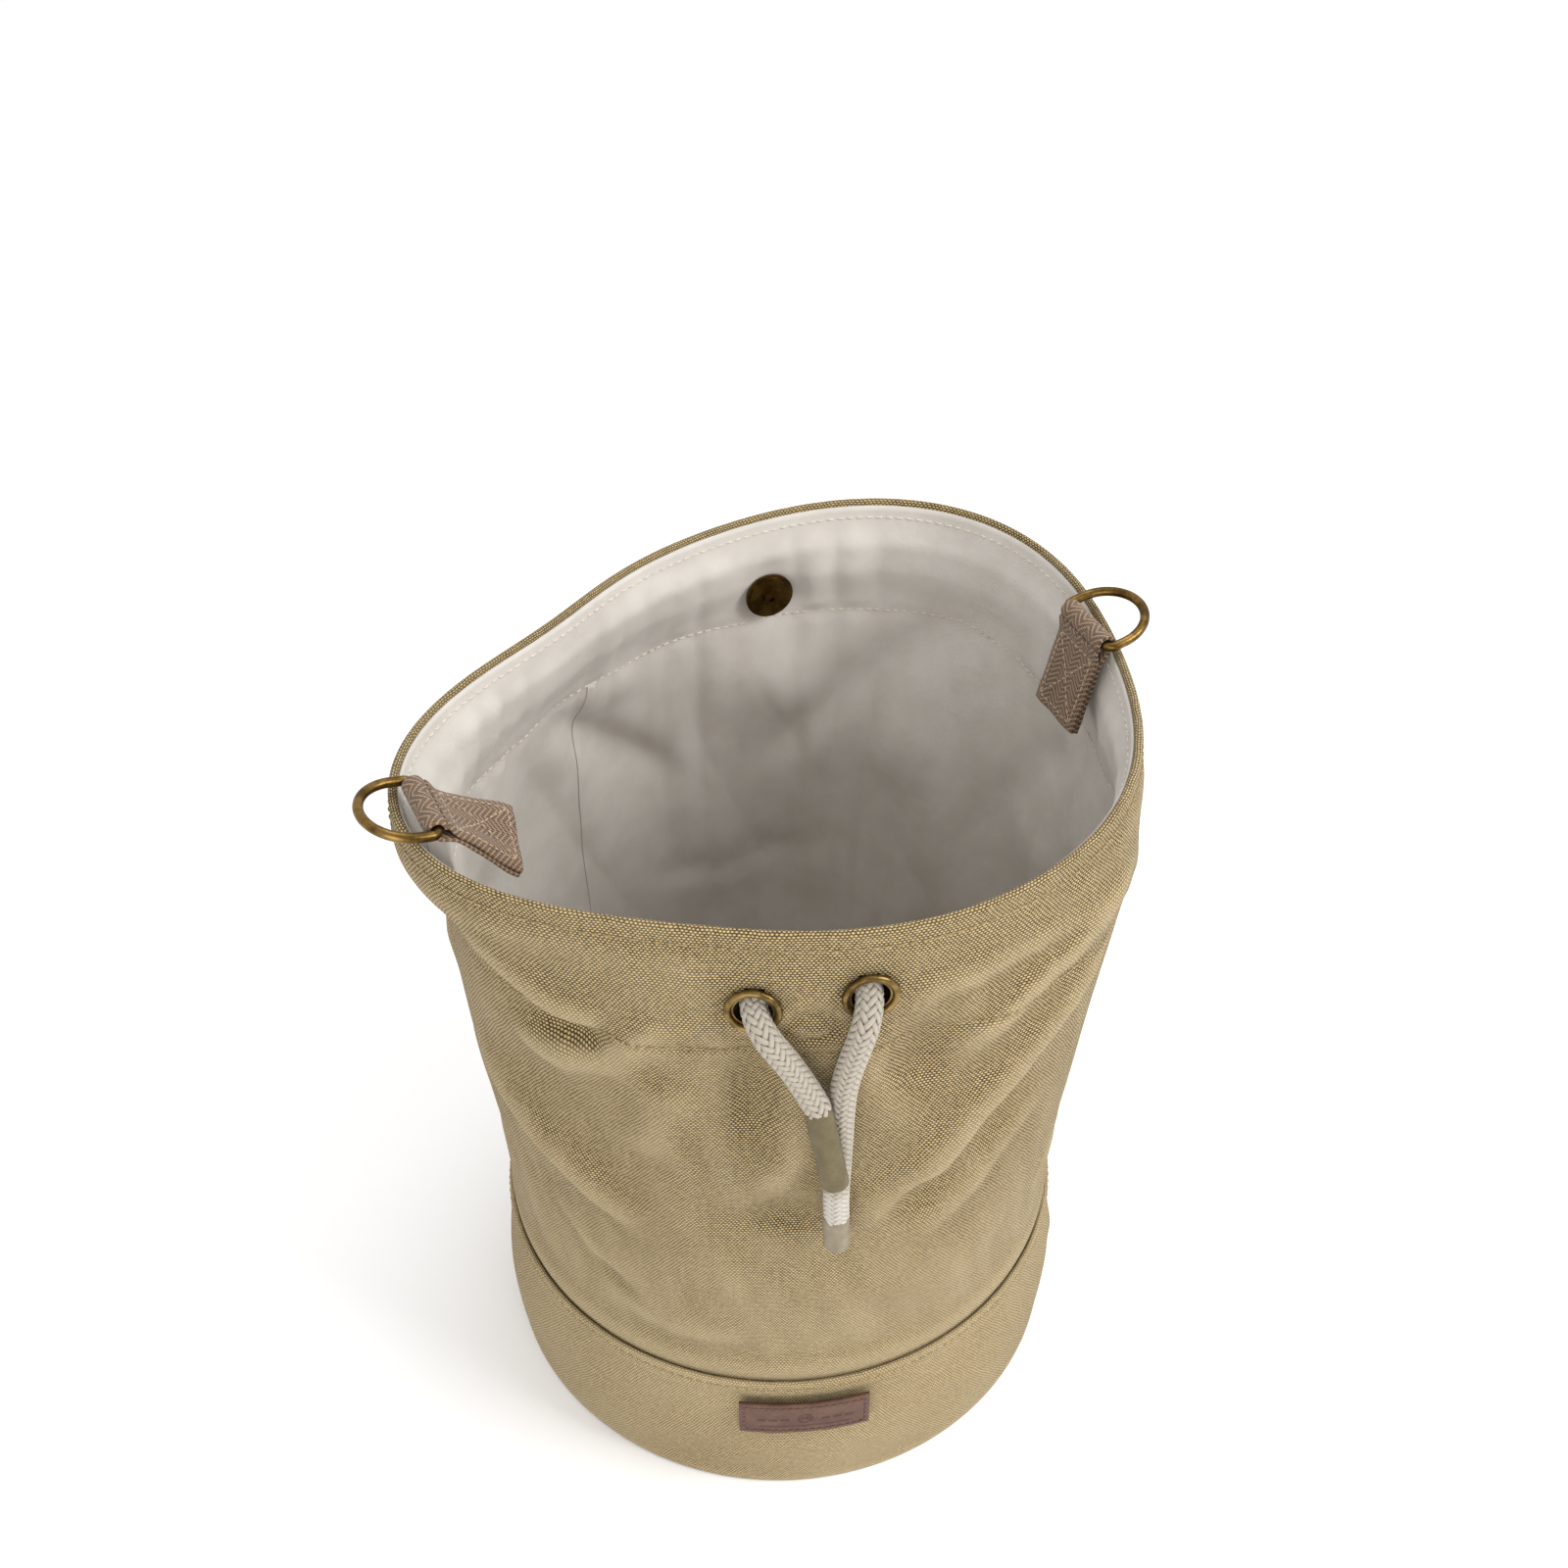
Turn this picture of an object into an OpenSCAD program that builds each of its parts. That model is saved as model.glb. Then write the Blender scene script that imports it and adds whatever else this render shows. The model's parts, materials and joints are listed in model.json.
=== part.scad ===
// Drawstring knitting bag: a canvas bucket bag with a cotton lining, a cord
// channel below the rim, two strap rings on webbing tabs and a magnetic snap.
// Origin at the centre of the base's underside, +Z up, front towards -Y.

/* [Bag] */
// Height of the bag from the ground to the rim
bag_h = 305; // [290:1:320]
// Radius of the wall at the ground
base_r = 110.5; // [105:0.5:114]
// Mean radius of the rim
rim_r = 118; // [115:1:121]
// How far the rim's outline departs from a circle, as a share
rim_skew = 1; // [0.7:0.05:1.1]
// Thickness of one layer of canvas
canvas_t = 1.4; // [1.2:0.1:1.6]
// Thickness of the cotton lining
lining_t = 0.6; // [0.4:0.1:0.8]
// Height of the lower band's folded top edge
band_h = 65; // [60:1:68]

/* [Cord channel] */
// Depth of the stitch row that closes the channel, below the rim
channel_depth = 49; // [46:1:52]
// Height of the cord inside the channel
run_z = 282; // [281:0.5:284]
// Diameter of the drawcord
cord_d = 8.5; // [8:0.1:8.8]
// Thickness of the cord where the channel presses it flat
run_flat = 5; // [4.5:0.1:5.2]

/* [Brass] */
// Radius of an eyelet's hole
eyelet_hole_r = 6; // [5.8:0.1:6.2]
// Outer radius of an eyelet's flange
eyelet_r = 9; // [8.6:0.1:9.4]
// Height of the eyelets' centres, between the two
eyelet_z = 278.5; // [277:0.5:280]
// How much higher the right eyelet sits than the left one
eyelet_rise = 5; // [0:0.5:5]
// Angle from the front to each eyelet
eyelet_spread = 8.4; // [8:0.1:9]
// Thickness of the strap rings' wire
ring_wire = 3.4; // [3:0.1:3.5]
// Clear width inside a strap ring
ring_inner_w = 25.8; // [25.8:0.1:27]
// Angle of a resting strap ring above the horizontal
ring_rest = 13; // [12:1:20]
// Diameter of the magnetic snap's two halves
snap_d = 19; // [18:0.5:20]
// Height of the snap's centre
snap_z = 270; // [268:0.5:271]

/* [Webbing and label] */
// Width of the strap ring webbing
web_w = 25; // [24:0.5:25]
// Length of the sewn tail below the webbing's loop
tail_l = 35; // [30:1:36]
// Place of the left tab around the rim
tab_left_at = 205; // [204:1:206]
// Direction that the left tab faces
tab_left_faces = 201; // [200:1:202]
// Place of the right tab around the rim
tab_right_at = 12; // [11:1:13]
// Direction that the right tab faces
tab_right_faces = 19; // [17:1:20]
// How far the left tab's tail leans into the bag from the vertical
tab_left_lean = 48; // [40:1:52]
// How far the right tab's tail leans into the bag from the vertical
tab_right_lean = 14; // [12:1:20]
// Width of the leather label
label_w = 50; // [40:1:55]
// Height of the leather label
label_h = 18; // [14:1:20]

/* [Hidden] */
$fn = 48;

// colours
canvas_colour = "#a8976b";
band_colour = "#a39263";
cotton_colour = "#d9d6d0";
cord_colour = "#b9b2a2";
dip_colour = "#8f8768";
brass_colour = "#8a6d34";
web_colour = "#9c8674";
leather_colour = "#79503f";
board_colour = "#8c7a5c";

// angles around the bag
front = -90;
back = 90;
snap_at = 87;

// clear gap between neighbouring pieces
gap = 0.3;

// heights that shape the wall
seam_lap = 9;
lap_z = band_h - seam_lap;
channel_z = bag_h - channel_depth;
skew_from = 185;
hem_in = 10;
lining_top = bag_h - 2;

// wall radius by height, before the rim's outline is added
profile = [[0, base_r], [30, base_r + 1.5], [66, base_r - 2], [80, base_r - 2],
           [125, base_r + 1.5], [205, base_r + 7.5], [262, rim_r + 3], [305, rim_r]];

// how deep the lining's outer face lies inside the wall's outer face, by height
lining_gap = 2.8;
lining_depth = [[0, lining_gap], [256, lining_gap], [276, 7.8], [288, 7.8], [300, 4.2]];

// steps around the bag in the soft shells, and the heights that they share
steps = 48;
shell_z = [80, 125, 165, 205, 232, 256, 276, 288];

// the rim's outline: waves around the circle, each with its count, height and place
rim_waves = [[1, 10, -42], [2, 13, 39], [3, 8, -46], [4, 2.5, 32], [5, 2, -17]];
function sum(list, i = 0) = i < len(list) ? list[i] + sum(list, i + 1) : 0;
function rim_wave(a) = rim_skew * sum([for (w = rim_waves) w[1] * cos(w[0] * (a - w[2]))]);
function smooth(t) = let (s = min(1, max(0, t))) s * s * (3 - 2 * s);
function wall_r(z, a) = lookup(z, profile)
                        + rim_wave(a) * smooth((z - skew_from) / (bag_h - skew_from));
function wall_slope(z, a) = (wall_r(z, a + 1) - wall_r(z, a - 1)) * 90 / PI / wall_r(z, a);
function wall_faces(z, a) = a - atan(wall_slope(z, a));
function polar(r, a, z) = [r * cos(a), r * sin(a), z];

// a shell of revolution that follows the wall: outline is a closed list of
// [depth inside the wall, height] points, anticlockwise from the outer foot
module wall_shell(outline) {
    m = len(outline);
    points = [for (i = [0:steps - 1], p = outline)
              let (a = i * 360 / steps) polar(wall_r(p[1], a) - p[0], a, p[1])];
    faces = [for (i = [0:steps - 1], j = [0:m - 1])
             let (k = (i + 1) % steps, n = (j + 1) % m)
             each [[i * m + j, i * m + n, k * m + n], [i * m + j, k * m + n, k * m + j]]];
    polyhedron(points, faces, convexity = 6);
}

// a patch of wall between two angles: a strip that lies on a face of the wall
module wall_strip(a0, a1, depth0, depth1, heights) {
    m = len(heights);
    ring = [for (z = heights) [depth0, z], for (j = [m - 1:-1:0]) [depth1, heights[j]]];
    n = 2 * m;
    points = [for (a = [a0, a1], p = ring) polar(wall_r(p[1], a) - p[0], a, p[1])];
    sides = [for (j = [0:n - 1]) let (k = (j + 1) % n)
             each [[j, k, n + k], [j, n + k, n + j]]];
    ends = [for (j = [0:m - 2]) let (b = n - 1 - j)
            each [[j, b, j + 1], [b, b - 1, j + 1],
                  [n + j, n + j + 1, n + b], [n + b, n + j + 1, n + b - 1]]];
    polyhedron(points, concat(sides, ends), convexity = 4);
}

// a row of stitching around the bag, drawn as one thin thread
module stitch_ring(z, depth, thread_r = 0.35) {
    wall_shell([[depth - thread_r, z], [depth, z + thread_r],
                [depth + thread_r, z], [depth, z - thread_r]]);
}

// puts a piece on the wall: its +Z points outwards, its +Y up
module on_wall(a, z, depth, faces = undef) {
    heading = is_undef(faces) ? wall_faces(z, a) : faces;
    translate(polar(wall_r(z, a) - depth, a, z)) rotate([90, 0, heading + 90]) children();
}

// --- canvas -------------------------------------------------------------

module upper_canvas() {
    heights = concat([lap_z, 66], shell_z);
    outer = [for (z = heights) [0, z]];
    hem = [[0, bag_h - 1], [0.8, bag_h], [2.2, bag_h], [3, bag_h - 1], [3, bag_h - hem_in],
           [canvas_t, bag_h - hem_in]];
    inner = [for (j = [len(heights) - 1:-1:0]) [canvas_t, heights[j]]];
    color(canvas_colour)
    difference() {
        wall_shell(concat(outer, hem, inner));
        for (side = [-1, 1])
            at_eyelet(side, 0) cylinder(r = eyelet_hole_r + 0.9, h = 12, center = true);
    }
}

module upper_back_seam() {
    color(canvas_colour)
    wall_strip(back - 3, back + 3, -1.4, -0.5, [70, 80, 125, 165, 205, 232, 250]);
}

module lower_band() {
    face = -canvas_t - gap;
    fold = 8;
    outline = [[face, 0], [face, 30], [face, band_h - fold], [face - 0.8, band_h - fold + 1],
               [face - 0.8, band_h - 1], [face - 0.2, band_h], [-gap, band_h],
               [-gap, 30], [-gap, 0]];
    color(band_colour) wall_shell(outline);
}

module band_back_seam() {
    face = -canvas_t - gap;
    color(band_colour) wall_strip(back - 3, back + 3, face - 1.4, face - 0.5, [2, 30, 55]);
}

module base_canvas() {
    color(band_colour) cylinder(r = base_r, h = canvas_t);
}

module base_board() {
    color(board_colour) translate([0, 0, canvas_t + gap]) cylinder(r = base_r - 3, h = 2.4);
}

// --- lining -------------------------------------------------------------

module lining_wall() {
    heights = concat([5.5, 30, 66], shell_z, [300, lining_top]);
    outer = [for (z = heights) [lookup(z, lining_depth), z]];
    inner = [for (j = [len(heights) - 1:-1:0])
             [lookup(heights[j], lining_depth) + lining_t, heights[j]]];
    color(cotton_colour) wall_shell(concat(outer, inner));
}

module lining_seam() {
    face = lining_gap + lining_t;
    color(cotton_colour)
    wall_strip(back + 40, back + 42, face + 0.6, face + 1.3,
               [8, 30, 66, 80, 125, 165, 205, 232, 250]);
}

module lining_base() {
    color(cotton_colour) translate([0, 0, 4.5]) cylinder(r = base_r - 4, h = lining_t);
}

// --- stitching ----------------------------------------------------------

module rim_stitch() {
    z = bag_h - 6.5;
    color(cotton_colour) {
        stitch_ring(z, -0.8);
        stitch_ring(z, lookup(z, lining_depth) + lining_t + 0.8);
    }
}

module channel_stitch() {
    color(cotton_colour) {
        stitch_ring(channel_z, -0.8);
        stitch_ring(channel_z, lining_gap + lining_t + 0.8);
    }
}

module band_stitch() {
    color(canvas_colour) stitch_ring(band_h - 3, -canvas_t - gap - 1.3);
}

// --- eyelets ------------------------------------------------------------

// puts a piece on an eyelet's axis: side is -1 on the left and 1 on the right
module at_eyelet(side, depth) {
    on_wall(front + side * eyelet_spread, eyelet_z + side * eyelet_rise / 2, depth) children();
}

module eyelet(side) {
    roll = 1.2;
    flange = 0.8;
    color(brass_colour)
    at_eyelet(side, 0)
        rotate_extrude() {
            translate([eyelet_hole_r, -3.4]) square([0.6, flange + 3.8]);
            translate([eyelet_hole_r, flange]) square([eyelet_r - eyelet_hole_r - roll, 0.8]);
            translate([eyelet_r - roll, flange + 0.8]) circle(r = roll, $fn = 24);
        }
}
module eyelet_left() eyelet(-1);
module eyelet_right() eyelet(1);

module eyelet_washer(side) {
    color(brass_colour)
    at_eyelet(side, canvas_t + 1.7)
        rotate_extrude() translate([eyelet_hole_r + 0.65, -0.3]) square([2.2, 0.6]);
}
module eyelet_washer_left() eyelet_washer(-1);
module eyelet_washer_right() eyelet_washer(1);

// --- drawcord -----------------------------------------------------------

// route of each free end, from inside its eyelet to its dipped tip, and on into the
// tip from the last point but one
left_route = [[-16.7, -113.9, 278.3], [-17.2, -116.2, 276.3], [-16.4, -120, 273.3],
              [-14.2, -123.2, 269.5], [-11, -124.6, 264.4], [-7.6, -125.2, 258.8],
              [-4.4, -126, 253], [-1.4, -127.4, 247.4], [1.2, -129.2, 242],
              [2.4, -130.3, 235.2]];
right_route = [[17, -115.8, 282.9], [17.4, -118.2, 280.8], [17, -121.8, 277.8],
               [15.8, -124.8, 273.4], [14, -125.4, 266], [11.8, -125.2, 257],
               [10, -124.9, 247], [9.2, -124.6, 236], [9, -124.2, 223],
               [8.8, -123.4, 209], [8.6, -122.4, 196], [8.7, -121.4, 186],
               [9, -120.5, 177.5], [9.15, -120.3, 171]];
left_tip_end = [6.9, -134.2, 210];
right_tip_end = [9.4, -120.1, 160.5];

// one ring of a tube's points, square to its direction; up is never along the tube
function tube_ring(p, dir, up, w, h, sides) =
    let (d = dir / norm(dir), side = cross(up, d), s = side / norm(side), u = cross(d, s))
    [for (k = [0:sides - 1]) p + s * w * cos(k * 360 / sides) + u * h * sin(k * 360 / sides)];
function heading(route, i) = route[min(i + 1, len(route) - 1)] - route[max(i - 1, 0)];

// a tube with half width w across and half height h, swept along a route
module tube(route, up, w, h, sides = 10) {
    n = len(route);
    points = [for (i = [0:n - 1]) each tube_ring(route[i], heading(route, i), up, w, h, sides)];
    skin = [for (i = [0:n - 2], j = [0:sides - 1])
            let (k = (j + 1) % sides, a = i * sides, b = a + sides)
            each [[a + j, b + k, a + k], [a + j, b + j, b + k]]];
    ends = [[for (j = [0:sides - 1]) j],
            [for (j = [sides - 1:-1:0]) (n - 1) * sides + j]];
    polyhedron(points, concat(skin, ends), convexity = 8);
}

module drawcord_run() {
    first = front + eyelet_spread + 5;
    last = front + 360 - eyelet_spread - 5;
    rings = 56;
    depth = canvas_t + 0.7 + run_flat / 2;
    route = [for (i = [0:rings]) let (a = first + (last - first) * i / rings)
             polar(wall_r(run_z, a) - depth, a, run_z)];
    color(cord_colour) tube(route, [0, 0, 1], run_flat / 2, 4.6, 8);
}

module free_cord(route) {
    color(cord_colour) tube(route, [1, 0, 0], cord_d / 2, cord_d / 2);
}
module cord_left() free_cord(left_route);
module cord_right() free_cord(right_route);

// a dipped cord end: a straight sleeve with a round end
module dipped_tip(from, to) {
    d = to - from;
    tip_r = cord_d / 2 + 0.25;
    color(dip_colour)
    translate(from) rotate([0, acos(d[2] / norm(d)), atan2(d[1], d[0])]) {
        cylinder(r = tip_r, h = norm(d) - tip_r);
        translate([0, 0, norm(d) - tip_r]) sphere(r = tip_r);
    }
}
module cord_tip_left() dipped_tip(left_route[len(left_route) - 2], left_tip_end);
module cord_tip_right() dipped_tip(right_route[len(right_route) - 2], right_tip_end);

// --- strap rings --------------------------------------------------------

// the ring's bar lies inside the rim, just above it
bar_depth = 9.6;
bar_z = bag_h + 3;
loop_hole_r = ring_wire / 2 + gap;
loop_r = loop_hole_r + 1.8;
web_t = 3.3;

// puts a piece on a tab: origin on the ring's bar, +Z outwards, +Y up
module at_bar(at, faces) {
    translate([0, 0, bar_z - bag_h]) on_wall(at, bag_h, bar_depth, faces) children();
}

module tab(at, faces, lean) {
    color(web_colour)
    at_bar(at, faces) rotate([lean, 0, 0]) rotate([0, -90, 0])
        linear_extrude(height = web_w, center = true)
            difference() {
                union() {
                    circle(r = loop_r);
                    translate([-web_t / 2, -loop_hole_r - tail_l]) square([web_t, tail_l]);
                }
                circle(r = loop_hole_r);
            }
}
module tab_left() tab(tab_left_at, tab_left_faces, tab_left_lean);
module tab_right() tab(tab_right_at, tab_right_faces, tab_right_lean);

// a sewn box with a cross in it, on the face of the tail
module tab_stitch(at, faces, lean) {
    thread_r = 0.35;
    half = web_w / 2 - 2.5;
    top = -loop_r - 2.5;
    foot = -loop_hole_r - tail_l + 2.5;
    corners = [[-half, top], [half, top], [half, foot], [-half, foot]];
    lines = [[0, 1], [1, 2], [2, 3], [3, 0], [0, 2], [1, 3]];
    color(cotton_colour)
    at_bar(at, faces) rotate([lean, 0, 0]) translate([0, 0, -web_t / 2 - thread_r - 0.05])
        for (line = lines) {
            p = corners[line[0]];
            q = corners[line[1]];
            translate([p[0], p[1], 0]) rotate([0, 0, atan2(q[1] - p[1], q[0] - p[0])])
                rotate([0, 90, 0]) cylinder(r = thread_r, h = norm(q - p), $fn = 16);
        }
}
module tab_stitch_left() tab_stitch(tab_left_at, tab_left_faces, tab_left_lean);
module tab_stitch_right() tab_stitch(tab_right_at, tab_right_faces, tab_right_lean);

// a D-shaped ring: a straight bar, two tight corners, two arms and a half circle
module d_ring(at, faces) {
    wire_r = ring_wire / 2;
    half = ring_inner_w / 2 + wire_r;
    corner = 2.5;
    arm = 6;
    color(brass_colour)
    at_bar(at, faces) rotate([90 - ring_rest, 0, 0]) {
        translate([-half + corner, 0, 0]) rotate([0, 90, 0])
            cylinder(r = wire_r, h = 2 * (half - corner));
        for (side = [-1, 1]) {
            translate([side * (half - corner), corner, 0])
                rotate([0, 0, side > 0 ? -90 : 180])
                    rotate_extrude(angle = 90) translate([corner, 0]) circle(r = wire_r);
            translate([side * half, corner, 0]) rotate([-90, 0, 0])
                cylinder(r = wire_r, h = arm - corner);
        }
        translate([0, arm, 0]) rotate_extrude(angle = 180)
            translate([half, 0]) circle(r = wire_r);
    }
}
module d_ring_left() d_ring(tab_left_at, tab_left_faces);
module d_ring_right() d_ring(tab_right_at, tab_right_faces);

// --- magnetic snap ------------------------------------------------------

snap_depth = 9.1;
prong_l = 6.2;
stud_r = 3;

// puts a snap half on the lining's face: +Z points into the bag
module on_lining(a) {
    on_wall(a, snap_z, snap_depth) rotate([180, 0, 0]) children();
}
module prongs() {
    for (side = [-1, 1])
        translate([side * 4.2 - 0.4, -2, -prong_l]) cube([0.8, 4, prong_l + 0.2]);
}
module prong_washer(a) {
    color(brass_colour)
    on_lining(a) translate([0, 0, -prong_l - 0.2])
        difference() {
            cylinder(r = 6, h = 0.6);
            translate([0, 0, -1]) cylinder(r = 1.5, h = 3);
        }
}

module snap_disc() {
    color(brass_colour)
    on_lining(snap_at) {
        cylinder(r = snap_d / 2, h = 0.9);
        cylinder(r = snap_d / 2 - 1.2, h = 1.5);
        difference() {
            cylinder(r = stud_r, h = 3.6);
            translate([0, 0, 1.2]) cylinder(r = 1, h = 4, $fn = 24);
        }
        prongs();
    }
}
module snap_back_washer() prong_washer(snap_at);

module snap_socket() {
    color(brass_colour)
    on_lining(front) {
        difference() {
            union() {
                cylinder(r = snap_d / 2, h = 2.6);
                cylinder(r = snap_d / 2 - 0.8, h = 3.4);
            }
            translate([0, 0, 0.6]) cylinder(r = snap_d / 2 - 1.6, h = 2.2);
            cylinder(r = stud_r + 0.3, h = 5);
        }
        translate([0, 0, -0.1]) cylinder(r = stud_r + 0.6, h = 0.6);
        prongs();
    }
}
module snap_magnet() {
    color("#55534f")
    on_lining(front) translate([0, 0, 0.8])
        difference() {
            cylinder(r = snap_d / 2 - 1.9, h = 1.8);
            translate([0, 0, -1]) cylinder(r = stud_r + 0.6, h = 4);
        }
}
module snap_front_washer() prong_washer(front);

// --- label --------------------------------------------------------------

label_r = base_r + canvas_t + 2.2;
label_t = 1.5;
label_turn = label_w / label_r * 180 / PI;
label_z = 39.5;

module label() {
    color(leather_colour)
    rotate([0, 0, front - label_turn / 2]) rotate_extrude(angle = label_turn, $fn = 180)
        translate([label_r, label_z]) square([label_t, label_h]);
}

// a thin curved panel in front of the label, centred on its width
module label_panel(inset, r, thick) {
    turn = label_turn * (1 - 2 * inset / label_w);
    rotate([0, 0, front - turn / 2]) rotate_extrude(angle = turn, $fn = 180)
        translate([r, label_z + inset]) square([thick, label_h - 2 * inset]);
}

module label_stitch() {
    edge = 1.6;
    thread = 0.5;
    face = label_r + label_t + 0.05;
    color(leather_colour)
    difference() {
        label_panel(edge, face, 0.35);
        label_panel(edge + thread, face - 1, 3);
    }
}

upper_canvas();
upper_back_seam();
lower_band();
band_back_seam();
base_canvas();
base_board();
lining_wall();
lining_seam();
lining_base();
rim_stitch();
channel_stitch();
band_stitch();
eyelet_left();
eyelet_right();
eyelet_washer_left();
eyelet_washer_right();
drawcord_run();
cord_left();
cord_right();
cord_tip_left();
cord_tip_right();
tab_left();
tab_right();
tab_stitch_left();
tab_stitch_right();
d_ring_left();
d_ring_right();
snap_disc();
snap_back_washer();
snap_socket();
snap_magnet();
snap_front_washer();
label();
label_stitch();
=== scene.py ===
"""A drawstring knitting bag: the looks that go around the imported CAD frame.

Lengths on the bag are worked out in millimetres, like the part's own source,
and turned into metres when a mesh is made. Angles are in degrees around +Z,
with the front of the bag at -90.
"""

import json
import math
import random

import bpy
import numpy as np
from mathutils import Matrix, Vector


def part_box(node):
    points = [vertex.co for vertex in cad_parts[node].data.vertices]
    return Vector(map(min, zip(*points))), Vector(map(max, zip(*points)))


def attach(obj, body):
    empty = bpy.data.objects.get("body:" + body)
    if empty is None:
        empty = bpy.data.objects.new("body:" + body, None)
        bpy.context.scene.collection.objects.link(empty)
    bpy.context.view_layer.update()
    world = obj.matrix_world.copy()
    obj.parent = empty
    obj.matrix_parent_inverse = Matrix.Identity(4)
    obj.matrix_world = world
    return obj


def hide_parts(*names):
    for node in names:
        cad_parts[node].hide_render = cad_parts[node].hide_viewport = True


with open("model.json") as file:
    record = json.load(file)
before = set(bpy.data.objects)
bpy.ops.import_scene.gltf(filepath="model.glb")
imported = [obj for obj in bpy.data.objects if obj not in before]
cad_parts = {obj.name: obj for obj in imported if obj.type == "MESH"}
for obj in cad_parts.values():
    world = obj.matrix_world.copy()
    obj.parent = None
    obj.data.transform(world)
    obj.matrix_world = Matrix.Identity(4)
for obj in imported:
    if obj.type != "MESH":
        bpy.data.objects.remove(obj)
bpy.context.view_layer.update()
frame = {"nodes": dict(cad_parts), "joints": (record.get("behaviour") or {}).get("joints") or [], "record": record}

MM = 0.001
FRONT = -90.0
BACK = 90.0

# --- camera ---

CAMERA_AZIMUTH = -5.0
CAMERA_PITCH = 40.2        # degrees below the horizon
CAMERA_AWAY = 0.5239       # metres from the bag's axis, along the floor
CAMERA_ABOVE_RIM = 0.4017
CAMERA_TO_RIGHT = 0.0021
LENS = 45.0


def make_camera():
    """A camera at the photograph's viewing angle."""
    a = math.radians(CAMERA_AZIMUTH)
    back = Vector((math.sin(a), -math.cos(a), 0))
    right = Vector((math.cos(a), math.sin(a), 0))
    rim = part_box("upper_canvas")[1].z
    data = bpy.data.cameras.new("photo_camera")
    data.lens = LENS
    data.sensor_width = 36.0
    camera = bpy.data.objects.new("photo_camera", data)
    bpy.context.scene.collection.objects.link(camera)
    camera.location = back * CAMERA_AWAY + right * CAMERA_TO_RIGHT + Vector((0, 0, rim + CAMERA_ABOVE_RIM))
    camera.rotation_euler = (math.radians(90 - CAMERA_PITCH), 0, a)
    bpy.context.scene.camera = camera


make_camera()

# --- material graphs ---


class Graph:
    """A procedural material, built one node at a time."""

    def __init__(self, name, roughness, metallic=0.0, specular=0.5, sheen=0.0):
        self.material = bpy.data.materials.new(name)
        self.material.use_nodes = True
        self.tree = self.material.node_tree
        self.shader = self.tree.nodes["Principled BSDF"]
        self.shader.inputs["Roughness"].default_value = roughness
        self.shader.inputs["Metallic"].default_value = metallic
        self.shader.inputs["Specular IOR Level"].default_value = specular
        self.shader.inputs["Sheen Weight"].default_value = sheen

    def node(self, kind, inputs=(), **settings):
        made = self.tree.nodes.new(kind)
        for key, value in settings.items():
            setattr(made, key, value)
        for key, value in dict(inputs).items():
            if isinstance(value, bpy.types.NodeSocket):
                self.tree.links.new(value, made.inputs[key])
            else:
                made.inputs[key].default_value = value
        return made

    def math(self, operation, *values):
        return self.node("ShaderNodeMath", enumerate(values), operation=operation).outputs[0]

    def add(self, one, other):
        return self.math("ADD", one, other)

    def times(self, one, other):
        return self.math("MULTIPLY", one, other)

    def scaled(self, value, low, high):
        """Maps 0..1 to low..high."""
        return self.node("ShaderNodeMapRange", {"Value": value, "To Min": low, "To Max": high}).outputs[0]

    def step(self, value, low, high):
        """0 below low, 1 above high, smooth between."""
        return self.node("ShaderNodeMapRange", {"Value": value, "From Min": low, "From Max": high},
                         interpolation_type="SMOOTHSTEP").outputs[0]

    def noise(self, where, scale, detail=3.0, rough=0.55):
        made = self.node("ShaderNodeTexNoise", {"Vector": where, "Scale": scale, "Detail": detail,
                                                "Roughness": rough})
        return made.outputs["Fac"]

    def mix(self, factor, one, other):
        made = self.tree.nodes.new("ShaderNodeMix")
        made.data_type = "RGBA"
        for key, value in (("Factor_Float", factor), ("A_Color", one), ("B_Color", other)):
            socket = next(s for s in made.inputs if s.identifier == key)
            if isinstance(value, bpy.types.NodeSocket):
                self.tree.links.new(value, socket)
            else:
                socket.default_value = value
        return next(s for s in made.outputs if s.identifier == "Result_Color")

    def uv(self):
        """(across, along, 0) in metres, from the mesh's own UV map."""
        return self.node("ShaderNodeUVMap", uv_map="cloth").outputs[0]

    def place(self):
        return self.node("ShaderNodeTexCoord").outputs["Object"]

    def attribute(self, name):
        return self.node("ShaderNodeAttribute", attribute_name=name).outputs["Fac"]

    def split(self, vector):
        return self.node("ShaderNodeSeparateXYZ", {"Vector": vector}).outputs

    def finish(self, colour, height=None, distance=0.0003, strength=1.0, roughness=None):
        self.tree.links.new(colour, self.shader.inputs["Base Color"])
        if roughness is not None:
            self.tree.links.new(roughness, self.shader.inputs["Roughness"])
        if height is not None:
            bump = self.node("ShaderNodeBump",
                             {"Height": height, "Distance": distance, "Strength": strength})
            self.tree.links.new(bump.outputs[0], self.shader.inputs["Normal"])
        return self.material


def rgb(red, green, blue):
    """A colour given in sRGB 0..255, as linear RGBA."""
    def linear(c):
        c /= 255
        return c / 12.92 if c <= 0.04045 else ((c + 0.055) / 1.055) ** 2.4
    return (linear(red), linear(green), linear(blue), 1.0)


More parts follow.
